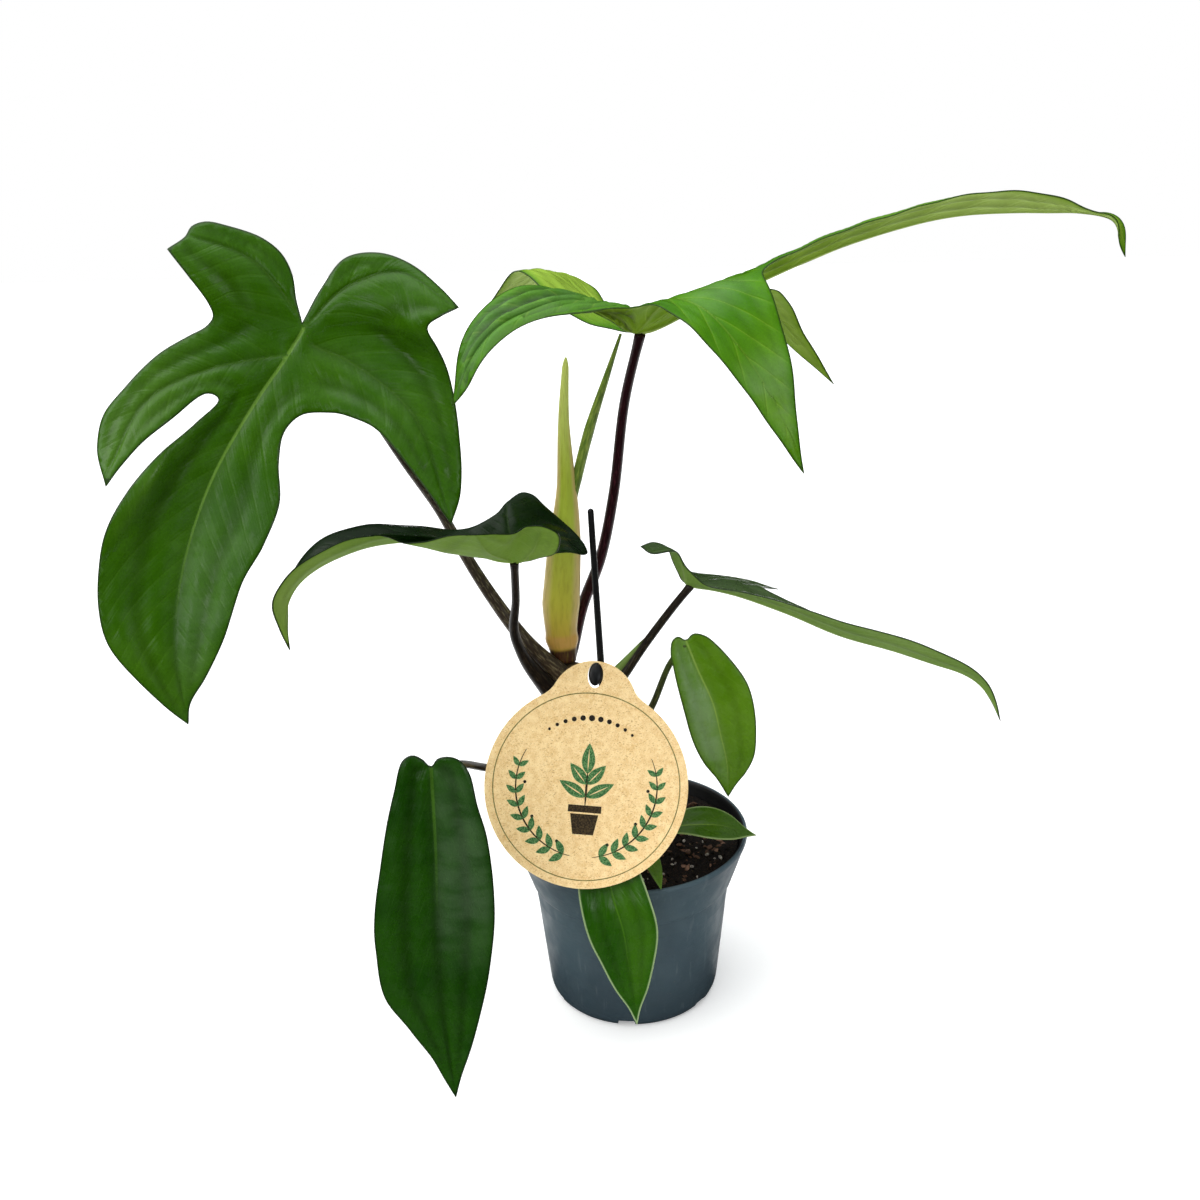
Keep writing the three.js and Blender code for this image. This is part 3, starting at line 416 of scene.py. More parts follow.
bark = Finish("bark_chips", (42, 28, 20), 0.85, 0.3)
bark_fibre = bark.patches(0.8, (1, 4, 1), detail=5)
bark.coat((98, 70, 52), bark.fade(bark_fibre, 0.35, 0.65))
bark.coat((148, 114, 96), bark.spots(9, 0.52, 0.62, 0.6))
bark.relief(bark_fibre, 0.15)

perlite = Finish("perlite_grains", (110, 102, 94), 0.9, 0.2)
perlite_pits = perlite.patches(0.6, detail=4)
perlite.coat((178, 172, 164), perlite.fade(perlite_pits, 0.3, 0.6))
perlite.relief(perlite_pits, 0.2)

add_piece("soil_fill", as_mesh("soil_fill", *soil_body(), peat), "soil", "soil")
for bits_name, bits_finish, bits in (
    ("peat_crumbs", peat, scattered(CRUMBS, seed=3, longest=3.4, shortest=1.2, flatness=0.8)),
    ("bark_chips", bark, scattered(BARK_CHIPS, seed=5, longest=8, shortest=2, flatness=0.35, lean=0.6)),
    ("perlite_grains", perlite,
        scattered(PERLITE_GRAINS, seed=8, longest=3.8, shortest=1, flatness=0.8, lean=0.6)),
):
    bits_mesh = as_mesh(bits_name, *bits, bits_finish)
    bits_mesh.set_sharp_from_angle(angle=math.radians(30))
    add_piece(bits_name, bits_mesh, "soil", "soil")

# Stem
# A short climbing stem, woody and brown below and greener towards the crown, with a ring scar at each
# node where an old leaf has dropped, and a few stubs of aerial root. It stands in the peat.

STEM_PATH = [(-8, 10, 55), (-12, 10, 88), (-16, 9, 112), (-21, 9, 138), (-26, 11, 162), (-30, 13, 182)]
STEM_RADIUS = 6.2
STEM_NODES = 5
ROOT_STUBS = (
    ((-12, 4, 92), (-13, -4, 93), (-14, -12, 90), (-13, -19, 84)),
    ((-16, 14, 113), (-18, 21, 112), (-20, 27, 107)),
    ((-26, 14, 139), (-31, 19, 138), (-34, 22, 133)),
)


def smooth_path(points, share):
    """Places on a smooth path through the points, at shares from 0 to 1 of its spans."""
    points = np.asarray(points, float)
    points = np.vstack([2 * points[0] - points[1], points, 2 * points[-1] - points[-2]])
    spot = np.clip(np.asarray(share) * (len(points) - 3), 0, len(points) - 3 - 1e-9)
    span = spot.astype(int)
    x = (spot - span)[:, None]
    a, b, c, d = (points[span + i] for i in range(4))
    ab, bc, cd = (np.sqrt(np.linalg.norm(q - p, axis=1))[:, None] for p, q in ((a, b), (b, c), (c, d)))
    leave = ((b - a) / ab - (c - a) / (ab + bc) + (c - b) / bc) * bc
    arrive = ((c - b) / bc - (d - b) / (bc + cd) + (d - c) / cd) * bc
    return b + leave * x + (3 * (c - b) - 2 * leave - arrive) * x**2 + (2 * (b - c) + leave + arrive) * x**3


def unit(vectors):
    return vectors / np.linalg.norm(vectors, axis=-1, keepdims=True)


def spaced(points, step, dome=0.0):
    """Places at even steps along a smooth path, closer together at domed ends, and how far along."""
    dense = smooth_path(points, np.linspace(0, 1, 40 * len(points)))
    run = np.concatenate([[0], np.cumsum(np.linalg.norm(np.diff(dense, axis=0), axis=1))])
    stops = np.linspace(dome, run[-1] - dome, max(2, round((run[-1] - 2 * dome) / step) + 1))
    if dome:
        bend = dome * (1 - np.cos(np.linspace(0, math.pi / 2, 6)[1:-1]))
        stops = np.concatenate([[0.02], bend, stops, run[-1] - bend[::-1], [run[-1] - 0.02]])
    return np.array([np.interp(stops, run, dense[:, k]) for k in range(dense.shape[1])]).T, stops


def rod(path, radius_at, sides, step, dome, flatten=1.0):
    """A closed body along a path. radius_at takes the share along it and the angle round it."""
    spine, run = spaced(path, step, dome)
    ahead = unit(np.gradient(spine, run, axis=0))
    rights = [unit(np.cross([0, 1, 0], ahead[0]))]
    for forward in ahead:
        rights.append(unit(rights[-1] - forward * (rights[-1] @ forward)))
    rights = np.array(rights[1:])
    backs = np.cross(ahead, rights)
    angle = np.arange(sides) * 2 * math.pi / sides
    share = (run / run[-1])[:, None]
    round_end = np.minimum(1, np.minimum(run, run[0] + run[-1] - run) / dome)
    radius = radius_at(share, angle[None]) * np.sqrt(1 - (1 - round_end) ** 2)[:, None]
    across, along = np.cos(angle)[None, :, None], np.sin(angle)[None, :, None]
    out = radius[..., None] * (across * rights[:, None] + along * backs[:, None])
    out[..., 1] *= flatten
    points = (spine[:, None] + out).reshape(-1, 3)
    ends = [tuple(reversed(range(sides))), tuple(len(points) - sides + j for j in range(sides))]
    faces = ring_faces(len(spine), sides) + ends
    girth = float(np.mean(radius))
    fibre = np.stack(np.broadcast_arrays(girth * np.cos(angle), girth * np.sin(angle), run[:, None] / 8), -1)
    drawn = {
        "fibre": fibre.reshape(-1, 3),
        "share": np.repeat(run / run[-1], sides),
        "side": np.tile(np.cos(angle), len(spine)),
    }
    return points, faces, drawn


def add_rods(name, bodies, finish, slot, node):
    """A piece made of one rod, or of several that are joined."""
    points, faces, drawn = [], [], {"fibre": [], "share": [], "side": []}
    for body_points, body_faces, body_drawn in bodies:
        start = sum(len(p) for p in points)
        points.append(body_points)
        faces += [tuple(start + i for i in face) for face in body_faces]
        for key, values in drawn.items():
            values.append(body_drawn[key])
    mesh = as_mesh(name, np.concatenate(points), faces, finish)
    draw_on(mesh, **{key: np.concatenate(values) for key, values in drawn.items()})
    add_piece(name, mesh, slot, node)


def fibres(finish, size, detail):
    """Chance streaks that run along a rod."""
    return finish.patches(size, at=finish.drawn("fibre", "Vector"), detail=detail)


def stem_radius(share, angle):
    node = np.cos(share * STEM_NODES * 2 * math.pi) ** 6
    ribs = 0.18 * np.sin(7 * angle + 5 * share) + 0.12 * np.sin(13 * angle - 9 * share)
    return STEM_RADIUS - 0.3 + 0.9 * node + ribs * (1 - node)


def root_radius(share, angle):
    return 1.5 - 0.8 * share + 0.1 * np.sin(5 * angle)


woody_stem = Finish("woody_stem", (46, 33, 24), 0.7, 0.3)
stem_fibre = fibres(woody_stem, 1.3, 6)
woody_stem.coat((112, 88, 58), woody_stem.fade(stem_fibre, 0.35, 0.65))
woody_stem.coat((58, 52, 28), woody_stem.fade(woody_stem.drawn("share"), 0.5, 1, 0, 0.5))
woody_stem.relief(stem_fibre, 0.5)
stem_bodies = [rod(STEM_PATH, stem_radius, sides=40, step=1.6, dome=2)]
stem_bodies += [rod(stub, root_radius, sides=10, step=1.5, dome=0.6) for stub in ROOT_STUBS]
add_rods("woody_stem", stem_bodies, woody_stem, "stem", "stem")

# Leaf stalks
# Each leaf hangs on a firm round stalk that clasps the stem with a swollen base and thins out towards
# the blade. They are nearly black-brown with fine olive streaks, and the highest leaf's is maroon.
# The stalk of the leaf on the right has a thin green wing near its base.

WING_REACH = (0.28, 0.62)
WING_DEPTH = 4.6
WING_COLOUR = (106, 134, 66)
YOUNG_STALK = ((50, 56, 26), (98, 110, 56), (66, 92, 34))
# Each stalk's path, its half widths from base to blade, and its colours: skin, streaks and upper end.
STALKS = {
    "left": (
        [(-29, 12, 170), (-36, 10, 180), (-51, 9, 198), (-67, 8, 224), (-79, 6, 248), (-88, 0, 271),
         (-101, -18, 303), (-122, -44, 354), (-135.3, -60, 378.9)],
        (4.4, 3.3, 2.3, 2, 1.9), ((58, 48, 38), (124, 116, 90), (62, 56, 44)),
    ),
    "fold": (
        [(-24, 10, 148), (-31, 8, 159), (-41, 4, 175), (-50.5, -2, 193), (-55, -9, 211), (-53, -18, 232),
         (-52.2, -28, 256.5)],
        (6.2, 4.9, 2.7, 2, 1.9), ((22, 16, 14), (60, 50, 38), (34, 26, 22)),
    ),
    "top": (
        [(-26, 12, 158), (-31, 16, 173), (-27, 21, 190), (-22, 20, 211), (-12, 13, 241), (-5, 5, 277),
         (1, -6, 326), (8.9, -20.2, 363.9)],
        (3.2, 2.6, 2.2), ((34, 8, 14), (76, 26, 38), (44, 10, 18)),
    ),
    "right": (
        [(-24, 10, 148), (-19, 9, 157), (-12, 8, 164), (-1, 7, 180), (9, 6, 196), (22, 3, 216),
         (31.8, -0.1, 230.3)],
        (3.4, 2.2, 1.9), ((26, 22, 18), (74, 70, 50), (38, 30, 26)),
    ),
    "oval": (
        [(-18, 9, 118), (-9, 7, 128), (3, 5, 146), (12, 3, 163), (21, 1, 187), (28.9, -1, 199.1)],
        (2.6, 1.8, 1.5), ((42, 46, 24), (88, 96, 50), (72, 92, 36)),
    ),
    "low": (
        [(-17, 9, 112), (-30, 2, 121), (-50, -14, 136), (-69, -38, 152), (-80, -66, 170),
         (-90.1, -94.8, 183)],
        (2.8, 2, 1.7), ((36, 30, 24), (84, 80, 52), (44, 50, 28)),
    ),
    "front": (
        [(-13, 9, 100), (-13, -2, 108), (-14, -22, 113), (-15, -38, 114), (-14.5, -54.1, 112.2)],
        (2.2, 1.6, 1.4), YOUNG_STALK,
    ),
    "rim": ([(-12, 9, 97), (-4, 4, 103), (4, -10, 108), (18.1, -26, 108.1)], (2, 1.4, 1.2), YOUNG_STALK),
    "sprout": (
        [(-13, 9, 100), (-8, 0, 106), (-3, -16, 112), (1.8, -34, 112.1)],
        (1.8, 1.2, 1), ((54, 62, 30), (104, 116, 60), (74, 104, 40)),
    ),
}


def stalk_finish(name, skin_colour, streak, upper_end, winged):
    skin = Finish(name, skin_colour, 0.36, 0.22)
    fibre, share = fibres(skin, 0.55, 5), skin.drawn("share")
    skin.coat(streak, skin.fade(fibre, 0.48, 0.72, 0, 0.8))
    skin.coat(streak, skin.spots(0.7, 0.66, 0.74, 0.5, detail=2))
    skin.coat(upper_end, skin.fade(share, 0.6, 1, 0, 0.7))
    if winged:
        start, end = WING_REACH
        in_reach = skin.times(skin.fade(share, start, start + 0.08), skin.fade(share, end, end - 0.08))
        skin.coat(WING_COLOUR, skin.times(skin.fade(skin.drawn("side"), -0.9, -0.99), in_reach))
    skin.relief(fibre, 0.12)
    return skin


def held(values):
    return np.clip(values, 0, 1)


def hump(offset, width):
    """1 where the offset is 0, and nearly 0 from twice the width on."""
    return np.exp(-((offset / width) ** 2))


def stalk_radius(widths, winged):
    def radius_at(share, angle):
        clasp = 0.35 * hump(share, 0.07) * (1 + 0.4 * np.cos(2 * angle))
        neck = 0.16 * hump(share - 1, 0.035)
        channel = -0.1 * hump(angle - 1.6, 0.5)
        radius = np.interp(share, np.linspace(0, 1, len(widths)), widths) * (1 + clasp + neck + channel)
        if winged:
            rise = held((share - WING_REACH[0]) * 9) * held((WING_REACH[1] - share) * 4)
            radius = radius + WING_DEPTH * rise * hump(angle - math.pi, 0.24)
        return radius

    return radius_at


for stalk_name, (path, widths, colours) in STALKS.items():
    winged = stalk_name == "right"
    skin = stalk_finish(f"{stalk_name}_stalk_skin", *colours, winged)
    stalk = rod(path, stalk_radius(widths, winged), sides=36, step=2.2, dome=1.2)
    stalk_slot = "petiole_purple" if stalk_name == "top" else "petiole_dark"
    add_rods(f"stalk_{stalk_name}", [stalk], skin, stalk_slot, f"petiole_{stalk_name}")

# Leaf blades
# Thin leathery blades, glossy green above and paler and duller below. The big ones have a long middle
# lobe and two lobes to each side, each with its own main vein, and the young ones are plain. The blade
# folds up along its main veins, dips at the side veins, and has a slightly rounded margin in a colour of
# its own, darker than the blade on most leaves and paler on a few. Painted shade darkens the folds of
# its pleats, and some lobes carry painted sheen and painted light shining through them.

BLADE_THICKNESS = 0.8
EDGE_THICKNESS = 0.45
CREASE_WIDTH = 4
RIB_STATIONS = 56
RIB_REACH = 7
RIB_ROWS = (0, 0.7, -0.7, 1.7, -1.7)
SMALL_LEAF = 0.65
# The pale grey-green of painted sheen, laid on upper faces where they should shine.
PAINTED_SHEEN_COLOUR = (142, 164, 134)
# Defaults for every leaf. Its lists of patches of painted sheen and of painted light shining through start
# empty.
PLAIN_LEAF = {
    "size": 1, "step": 2.3, "flutter": 0.5, "veins": 0.07, "side_ribs": 0, "rib_fade": 0.8, "specular": 0.22,
    "film": [], "glow": [], "pleat_shares": (1, 1, 1, 1, 1),
    "under": ((110, 138, 60), (128, 154, 78), (150, 172, 100)),
}


def rib_frames(flat, place, up, fold, curl, pull=1):
    """Stations along a rib, each with the blade's directions there."""
    share = np.linspace(0, 1, RIB_STATIONS + 1)
    before, after = held(share - 1e-4), held(share + 1e-4)
    heading = unit(smooth_path(flat, after) - smooth_path(flat, before))
    along = unit(smooth_path(place, after) - smooth_path(place, before))
    stops = np.linspace(0, 1, len(up))
    above = np.array([np.interp(share, stops, [vector[k] for vector in up]) for k in range(3)]).T
    above = unit(above - along * (above * along).sum(1)[:, None])
    return {
        "start": smooth_path(flat, share), "heading": heading, "place": smooth_path(place, share),
        "along": along, "across": np.cross(along, above), "above": above,
        "fold": np.radians(np.broadcast_to(fold, 2)), "curl": curl, "pull": pull,
    }


def on_plant(frames, flat):
    """Where points of the flat leaf lie on the plant: what its ribs say, blended by nearness."""
    total, weights = 0, 0
    for rib in frames:
        offset = flat[:, None] - rib["start"][None]
        heading = rib["heading"]
        forward = (offset * heading).sum(2)
        aside = offset[..., 0] * heading[:, 1] - offset[..., 1] * heading[:, 0]
        angle = np.where(aside < 0, rib["fold"][0], rib["fold"][1])
        rise = (np.hypot(aside, CREASE_WIDTH) - CREASE_WIDTH) * np.sin(angle) - rib["curl"] * aside**2
        weight = rib["pull"] * ((offset**2).sum(2) + RIB_REACH**2) ** -2.0
        total = total + weight @ rib["place"] + (weight * forward) @ rib["along"]
        total = total + (weight * aside * np.cos(angle)) @ rib["across"] + (weight * rise) @ rib["above"]
        weights = weights + weight.sum(1)
    return total / weights[:, None]


def smooth_edge(outline, step):
    """The outline as a closed run of close points, smooth between its sharp corners."""
    first = next(i for i, point in enumerate(outline) if len(point) == 3)
    loop = outline[first:] + outline[:first] + [outline[first]]
    corners = [i for i, point in enumerate(loop) if len(point) == 3]
    stretches = [[point[:2] for point in loop[a:b + 1]] for a, b in zip(corners, corners[1:])]
    return np.concatenate([spaced(stretch, step)[0][:-1] for stretch in stretches])


def to_edge(points, edge):
    """How far each point lies from the outline, and whether it is inside."""
    distance = np.full(len(points), np.inf)
    inside = np.zeros(len(points), bool)
    for a, b in zip(edge, np.roll(edge, -1, axis=0)):
        share = held((points - a) @ (b - a) / ((b - a) @ (b - a)))
        distance = np.minimum(distance, np.linalg.norm(points - a - share[:, None] * (b - a), axis=1))
        spans = (a[1] > points[:, 1]) != (b[1] > points[:, 1])
        rise = b[1] - a[1] or 1
        inside ^= spans & (points[:, 0] < (b[0] - a[0]) * (points[:, 1] - a[1]) / rise + a[0])
    return distance, inside


def how_near(points, others):
    """The distance from each point to the nearest of the others."""
    tree = KDTree(len(others))
    for i, (x, y) in enumerate(others):
        tree.insert((x, y, 0), i)
    tree.balance()
    return np.array([tree.find((x, y, 0))[2] for x, y in points])


def flat_blade(edge, lines, step):
    """The flat leaf's points and triangles, with rows of points along the lines of its ribs."""
    rows = []
    for line in lines:
        line, _ = spaced(line, step)
        ahead = unit(np.gradient(line, axis=0))
        across = np.stack([ahead[:, 1], -ahead[:, 0]], 1)
        for aside in RIB_ROWS:
            row = line + aside * across
            if rows:
                row = row[how_near(row, np.concatenate(rows)) > 0.55]
            if len(row):
                rows.append(row)
    rows = np.concatenate(rows)
    low, high = edge.min(0), edge.max(0)
    levels = np.arange(low[1], high[1], step * math.sqrt(0.75))
    columns = np.arange(low[0], high[0], step)
    field = np.array([(x + step / 2 * (i % 2), y) for i, y in enumerate(levels) for x in columns])
    inner = np.concatenate([rows, field[how_near(field, rows) > 0.75 * step]])
    distance, inside = to_edge(inner, edge)
    inner = inner[inside & (distance > 0.4 * step)]
    points = [Vector(point) for point in np.concatenate([edge, inner])]
    made = delaunay_2d_cdt(points, [], [list(range(len(edge)))], 1, 1e-5)
    flat = np.array([tuple(point) for point in made[0]])
    faces = np.array(made[2])
    a, b, c = (flat[faces[:, i]] for i in range(3))
    twice = (b[:, 0] - a[:, 0]) * (c[:, 1] - a[:, 1]) - (c[:, 0] - a[:, 0]) * (b[:, 1] - a[:, 1])
    faces[twice < 0] = faces[twice < 0][:, ::-1]
    return flat, faces


def rib_places(flat, lines):
    """For each flat point: how far along and beside the nearest rib, and how plainly it is nearest."""
    nearest = []
    for line in lines:
        line, run = spaced(line, 0.5)
        ahead = unit(np.gradient(line, axis=0))
        spot = np.linalg.norm(flat[:, None] - line[None], axis=2).argmin(1)
        offset = flat - line[spot]
        forward = (offset * ahead[spot]).sum(1)
        aside = offset[:, 0] * ahead[spot, 1] - offset[:, 1] * ahead[spot, 0]
        beyond = np.where((spot == 0) | (spot == len(line) - 1), np.abs(forward), 0)
        nearest.append((np.hypot(aside, beyond), run[spot] + forward, aside, np.full(len(flat), run[-1])))
    distance, along, aside, length = (np.array(values) for values in zip(*nearest))
    order = distance.argsort(axis=0)
    pick = lambda values, row=0: np.take_along_axis(values, order[row:row + 1], 0)[0]
    lead = pick(distance, 1) - pick(distance) if len(lines) > 1 else np.full(len(flat), 99.0)
    return pick(along), pick(aside), pick(length), order[0], lead


def patches_on(spots, run, aside, rib):
    """The chosen patches: each is a rib, a side of it or 0 for both, a stretch of it and a strength."""
    total = np.zeros(len(run))
    for spot_rib, side, start, end, strength in spots:
        place = (run - start) / (end - start)
        window = held(3 * np.minimum(place, 1 - place))
        on_side = held(0.5 + side * aside / 4) if side else 1
        total = total + strength * window * on_side * (rib == spot_rib)
    return total


def blade_mesh(name, leaf, *finishes):
    """The blade as a closed skin: upper face, under face and rounded margin."""
    size, step, gap = leaf["size"], leaf["step"], leaf["vein_gap"]
    lines = [rib[0] for rib in leaf["ribs"]]
    edge = smooth_edge(leaf["outline"], step * 0.7)
    flat, faces = flat_blade(edge, lines, step)
    margin, _ = to_edge(flat, edge)
    run, aside, length, rib, lead = rib_places(flat, lines)
    run_share, aside_by = run / length, np.abs(aside)
    middle = on_plant([rib_frames(*rib_values) for rib_values in leaf["ribs"]], flat)
    corners = middle[faces]
    face_normals = np.cross(corners[:, 1] - corners[:, 0], corners[:, 2] - corners[:, 0])
    normals = np.zeros_like(middle)
    for i in range(3):
        np.add.at(normals, faces[:, i], face_normals)
    normals = unit(normals)

    phase = (run - leaf["slant"] * aside_by - 0.01 * aside_by**2) / gap + 0.45 * (aside > 0)
    share = held(lead / 6) * held(margin / 5)
    tapering = 1 - held(run_share)
    rib_width = size * np.where(rib == 0, 0.85, 0.6) * (0.25 + 0.75 * tapering)
    rib_share = np.where(rib == 0, 1, leaf["side_ribs"]) * held((leaf["rib_fade"] - run_share) * 3)
    on_rib = hump(aside_by, rib_width + 0.15) * (0.3 + 0.7 * rib_share) * tapering
    dips = (0.5 + 0.5 * np.cos(2 * math.pi * phase)) ** 3 * share * held(aside_by / 4)
    waves = np.sin(flat[:, 0] * 0.19 + flat[:, 1] * 0.11 + 1) * np.sin(flat[:, 1] * 0.17 - flat[:, 0] * 0.07)
    lift = leaf["quilt"] * (0.4 - dips) + leaf["flutter"] * size * waves * np.exp(-margin / 9)
    pleat_depth, pleat_count = leaf["pleats"]
    pleats = np.cos(2 * math.pi * pleat_count * aside_by / (aside_by + margin + 1))
    pleats = pleats * (np.array(leaf["pleat_shares"])[rib] * share)
    lift = lift - pleat_depth * pleats
    fading = held(lead / 8) * held(margin / 4)
    # Patches of painted sheen and of painted light shining through the blade.
    film, glow = (patches_on(leaf[kind], run_share, aside, rib) * fading for kind in ("film", "glow"))
    half = EDGE_THICKNESS / 2 + (BLADE_THICKNESS - EDGE_THICKNESS) / 2 * held(margin / 3)
    upper = middle + normals * (lift + half - 0.35 * on_rib)[:, None]
    lower = middle + normals * (lift - half - 1.1 * size * on_rib)[:, None]

    sides = {(int(a), int(b)) for face in faces for a, b in zip(face, np.roll(face, -1))}
    ahead = {a: b for a, b in sides if (b, a) not in sides}
    loop = [min(ahead)]
    while ahead[loop[-1]] != loop[0]:
        loop.append(ahead[loop[-1]])
    rim = middle[loop]
    out = unit(np.cross(np.roll(rim, -1, axis=0) - np.roll(rim, 1, axis=0), normals[loop]))
    rim = rim + normals[loop] * lift[loop][:, None] + 0.15 * out
    count, rim_faces = len(flat), []
    for i, a in enumerate(loop):
        j = (i + 1) % len(loop)
        b, low, high = loop[j], 2 * count + i, 2 * count + j
        rim_faces += [(low, high, b, a), (a + count, b + count, high, low)]
    all_faces = faces.tolist() + (faces[:, ::-1] + count).tolist() + rim_faces
    mesh = as_mesh(name, np.concatenate([upper, lower, rim]), all_faces, *finishes)
    under = np.zeros(len(all_faces), dtype=np.int32)
    under[len(faces):2 * len(faces)] = 1
    mesh.polygons.foreach_set("material_index", under)
    # Besides the veins, these say where to paint sheen, light shining through the blade, and shade in the
    # pleats' folds.
    drawn = {
        "lobe": np.stack([phase * gap, aside_by, margin], 1), "vein_share": share, "rib_width": rib_width,
        "rib_share": rib_share, "film": film, "glow": glow, "valley": held(pleats) * pleat_depth,
    }
    draw_on(mesh, **{key: np.concatenate([values, values, values[loop]]) for key, values in drawn.items()})
    return mesh


def leaf_face(name, leaf, colours, gloss, specular):
    """One face of a blade: mottled green with lighter veins and a pale main vein. It has painted shade
    in its folds, painted light where light would shine through it, and painted pale sheen in places."""
    face, light, rib = colours
    veins = leaf["veins"]
    skin = Finish(name, face, gloss, specular)
    lobe = skin.node("SeparateXYZ", {"Vector": skin.drawn("lobe", "Vector")})
    share, rib_share = skin.drawn("vein_share"), skin.drawn("rib_share")
    grain = skin.patches(1.1, detail=5)
    streak_place = skin.node("CombineXYZ", {"X": lobe["X"], "Y": skin.times(lobe["Y"], 0.08)})["Vector"]
    streaks = skin.spots(1.8, 0.4, 0.7, at=streak_place, detail=4)
    in_gap = skin.sum("FRACT", skin.sum("DIVIDE", lobe["X"], leaf["vein_gap"]))
    to_vein = skin.sum("ABSOLUTE", skin.sum("SUBTRACT", in_gap, 0.5))
    along_rib = skin.fade(skin.sum("SUBTRACT", lobe["Y"], skin.drawn("rib_width")), 0.25, -0.35)
    skin.coat(light, skin.spots(24, 0.35, 0.65, 0.45))
    skin.coat([0.85 * part for part in face], skin.fade(grain, 0.4, 0.65, 0, 0.25))
    skin.coat(light, skin.times(streaks, share, 0.12))
    skin.coat(light, skin.times(skin.fade(to_vein, 0.2, 0.5, 0, veins), share))
    skin.coat(rib, skin.times(skin.fade(to_vein, 0.45, 0.5, 0, veins), share))
    # Painted light: the blade turns to its pale vein colour where light would shine through it.
    skin.coat(rib, skin.drawn("glow"))
    # Painted shade: darker in the pleats' folds.
    skin.coat([0.4 * part for part in face], skin.times(skin.drawn("valley"), 0.6))
    # Painted sheen: pale clouds in the chosen patches of the upper face.
    if leaf["film"] and colours is leaf["upper"]:
        sheen_clouds = skin.fade(skin.patches(14, (0.6, 0.6, 1.6)), 0.32, 0.6, 0.35, 1)
        skin.coat(PAINTED_SHEEN_COLOUR, skin.times(skin.drawn("film"), sheen_clouds))
    skin.coat(light, skin.times(skin.fade(lobe["Y"], 5, 0.5, 0, 0.3), rib_share))
    skin.coat(rib, skin.times(along_rib, rib_share, 0.85))
    skin.coat(leaf["margin"], skin.fade(lobe["Z"], 1, 0.2, 0, 0.85))
    skin.shine(6, gloss - 0.05, gloss + 0.06)
    skin.relief(skin.times(skin.fade(to_vein, 0.38, 0.5), share), -0.8 * veins)
    skin.relief(streaks, 0.04)
    skin.relief(grain, 0.025)
    return skin


def add_leaf(name, **leaf):
    """A blade. It is drawn flat, with its stalk joined at 0,0 and its tip towards +y, and a third value
    of 1 marks a sharp corner. Each rib says where flat points lie on the plant, which way the upper face
    looks from the rib's start to its end, how far the blade rises beside it in degrees, how far it curls
    back towards its edge, and, for a short rib, its share in the shape."""
    leaf = PLAIN_LEAF | leaf
    above = leaf_face(f"{name}_upper_face", leaf, leaf["upper"], 0.27, leaf["specular"])
    below = leaf_face(f"{name}_under_face", leaf, leaf["under"], 0.6, 0.06)
    add_piece(f"blade_{name}", blade_mesh(f"blade_{name}", leaf, above, below), leaf["slot"], f"leaf_{name}")


# Each leaf below lists patches of painted sheen and of painted light shining through the blade.
add_leaf(
    "left", slot="leaf_green", vein_gap=13, slant=1.1, veins=0.08, side_ribs=0.12, rib_fade=0.75,
    quilt=0.34, pleats=(0.5, 2), margin=(34, 56, 18), film=[(0, -1, 0.35, 1, 0.1)],
    glow=[(0, 0, 0.75, 1.3, 0.16), (3, 0, 0.3, 1.3, 0.22)],
    upper=((44, 88, 0), (64, 110, 12), (100, 140, 48)),
    under=((104, 136, 60), (126, 154, 80), (150, 174, 102)),
    outline=[
        (1, -2, 1), (3, -12), (4, -22), (8, -31), (16, -38), (30, -44), (39, -46.5), (45, -45), (48, -41),
        (56, -36, 1), (48, -23), (41, -11), (40, -5), (44, 0), (52, 4), (66, 11), (79, 22), (90, 35),
        (93, 50), (88, 67, 1), (74, 49), (61, 38), (46, 29), (40, 32), (50, 41), (63, 51), (78, 69),
        (87, 86), (90, 103), (90, 121), (86, 137), (74, 153), (61, 167), (52, 175, 1), (51, 165), (44, 152),
        (36, 134), (28, 109), (19, 94), (12, 76), (12, 59), (9, 45), (2, 38), (-9, 39), (-20, 43),
        (-31, 48), (-44, 62), (-64, 88, 1), (-68, 74), (-67, 50), (-63, 26), (-58, 10), (-54, 0), (-59, -6),
        (-66, -11, 1), (-58, -18.5), (-46, -27), (-32, -31), (-18.5, -28.5), (-8, -16),
    ],
    ribs=[
        ([(0, 0), (21, 33), (41, 68), (54, 105), (57, 140), (52, 175)],
         [(-135, -60, 381), (-158, -68, 351), (-179, -79, 318), (-193, -91, 281), (-198, -99, 248),
          (-196, -101, 212)],
         [(0.1, -0.93, 0.36), (0.1, -0.98, 0.15)], 9, 0.0015),
        ([(-6, 8), (-20, 19), (-47, 41), (-63, 85)],
         [(-132, -61, 373), (-117, -62, 366), (-90, -70, 344), (-76, -84, 302)],
         [(0.1, -0.93, 0.36), (0.35, -0.9, 0.25)], 3, 0.002),
        ([(0, 0), (-18, -16), (-42, -23), (-62, -12)],
         [(-135, -60, 381), (-117, -57, 397), (-93, -56, 403), (-72, -62, 390)],
         [(0.1, -0.93, 0.36), (0.35, -0.8, 0.45)], 3, 0.002),
        ([(8, 12), (46, 19), (72, 30), (88, 62)],
         [(-143, -62, 370), (-177, -69, 366), (-203, -77, 355), (-220, -90, 327)],
         [(0.1, -0.93, 0.36), (-0.3, -0.9, 0.25)], 3, 0.002),
        ([(0, 0), (8, -14), (22, -30), (48, -42)],
         [(-135, -60, 381), (-143, -58, 395), (-157, -56, 411), (-182, -58, 422)],
         [(0.1, -0.93, 0.36), (-0.2, -0.8, 0.55)], 3, 0.002),
    ],
)
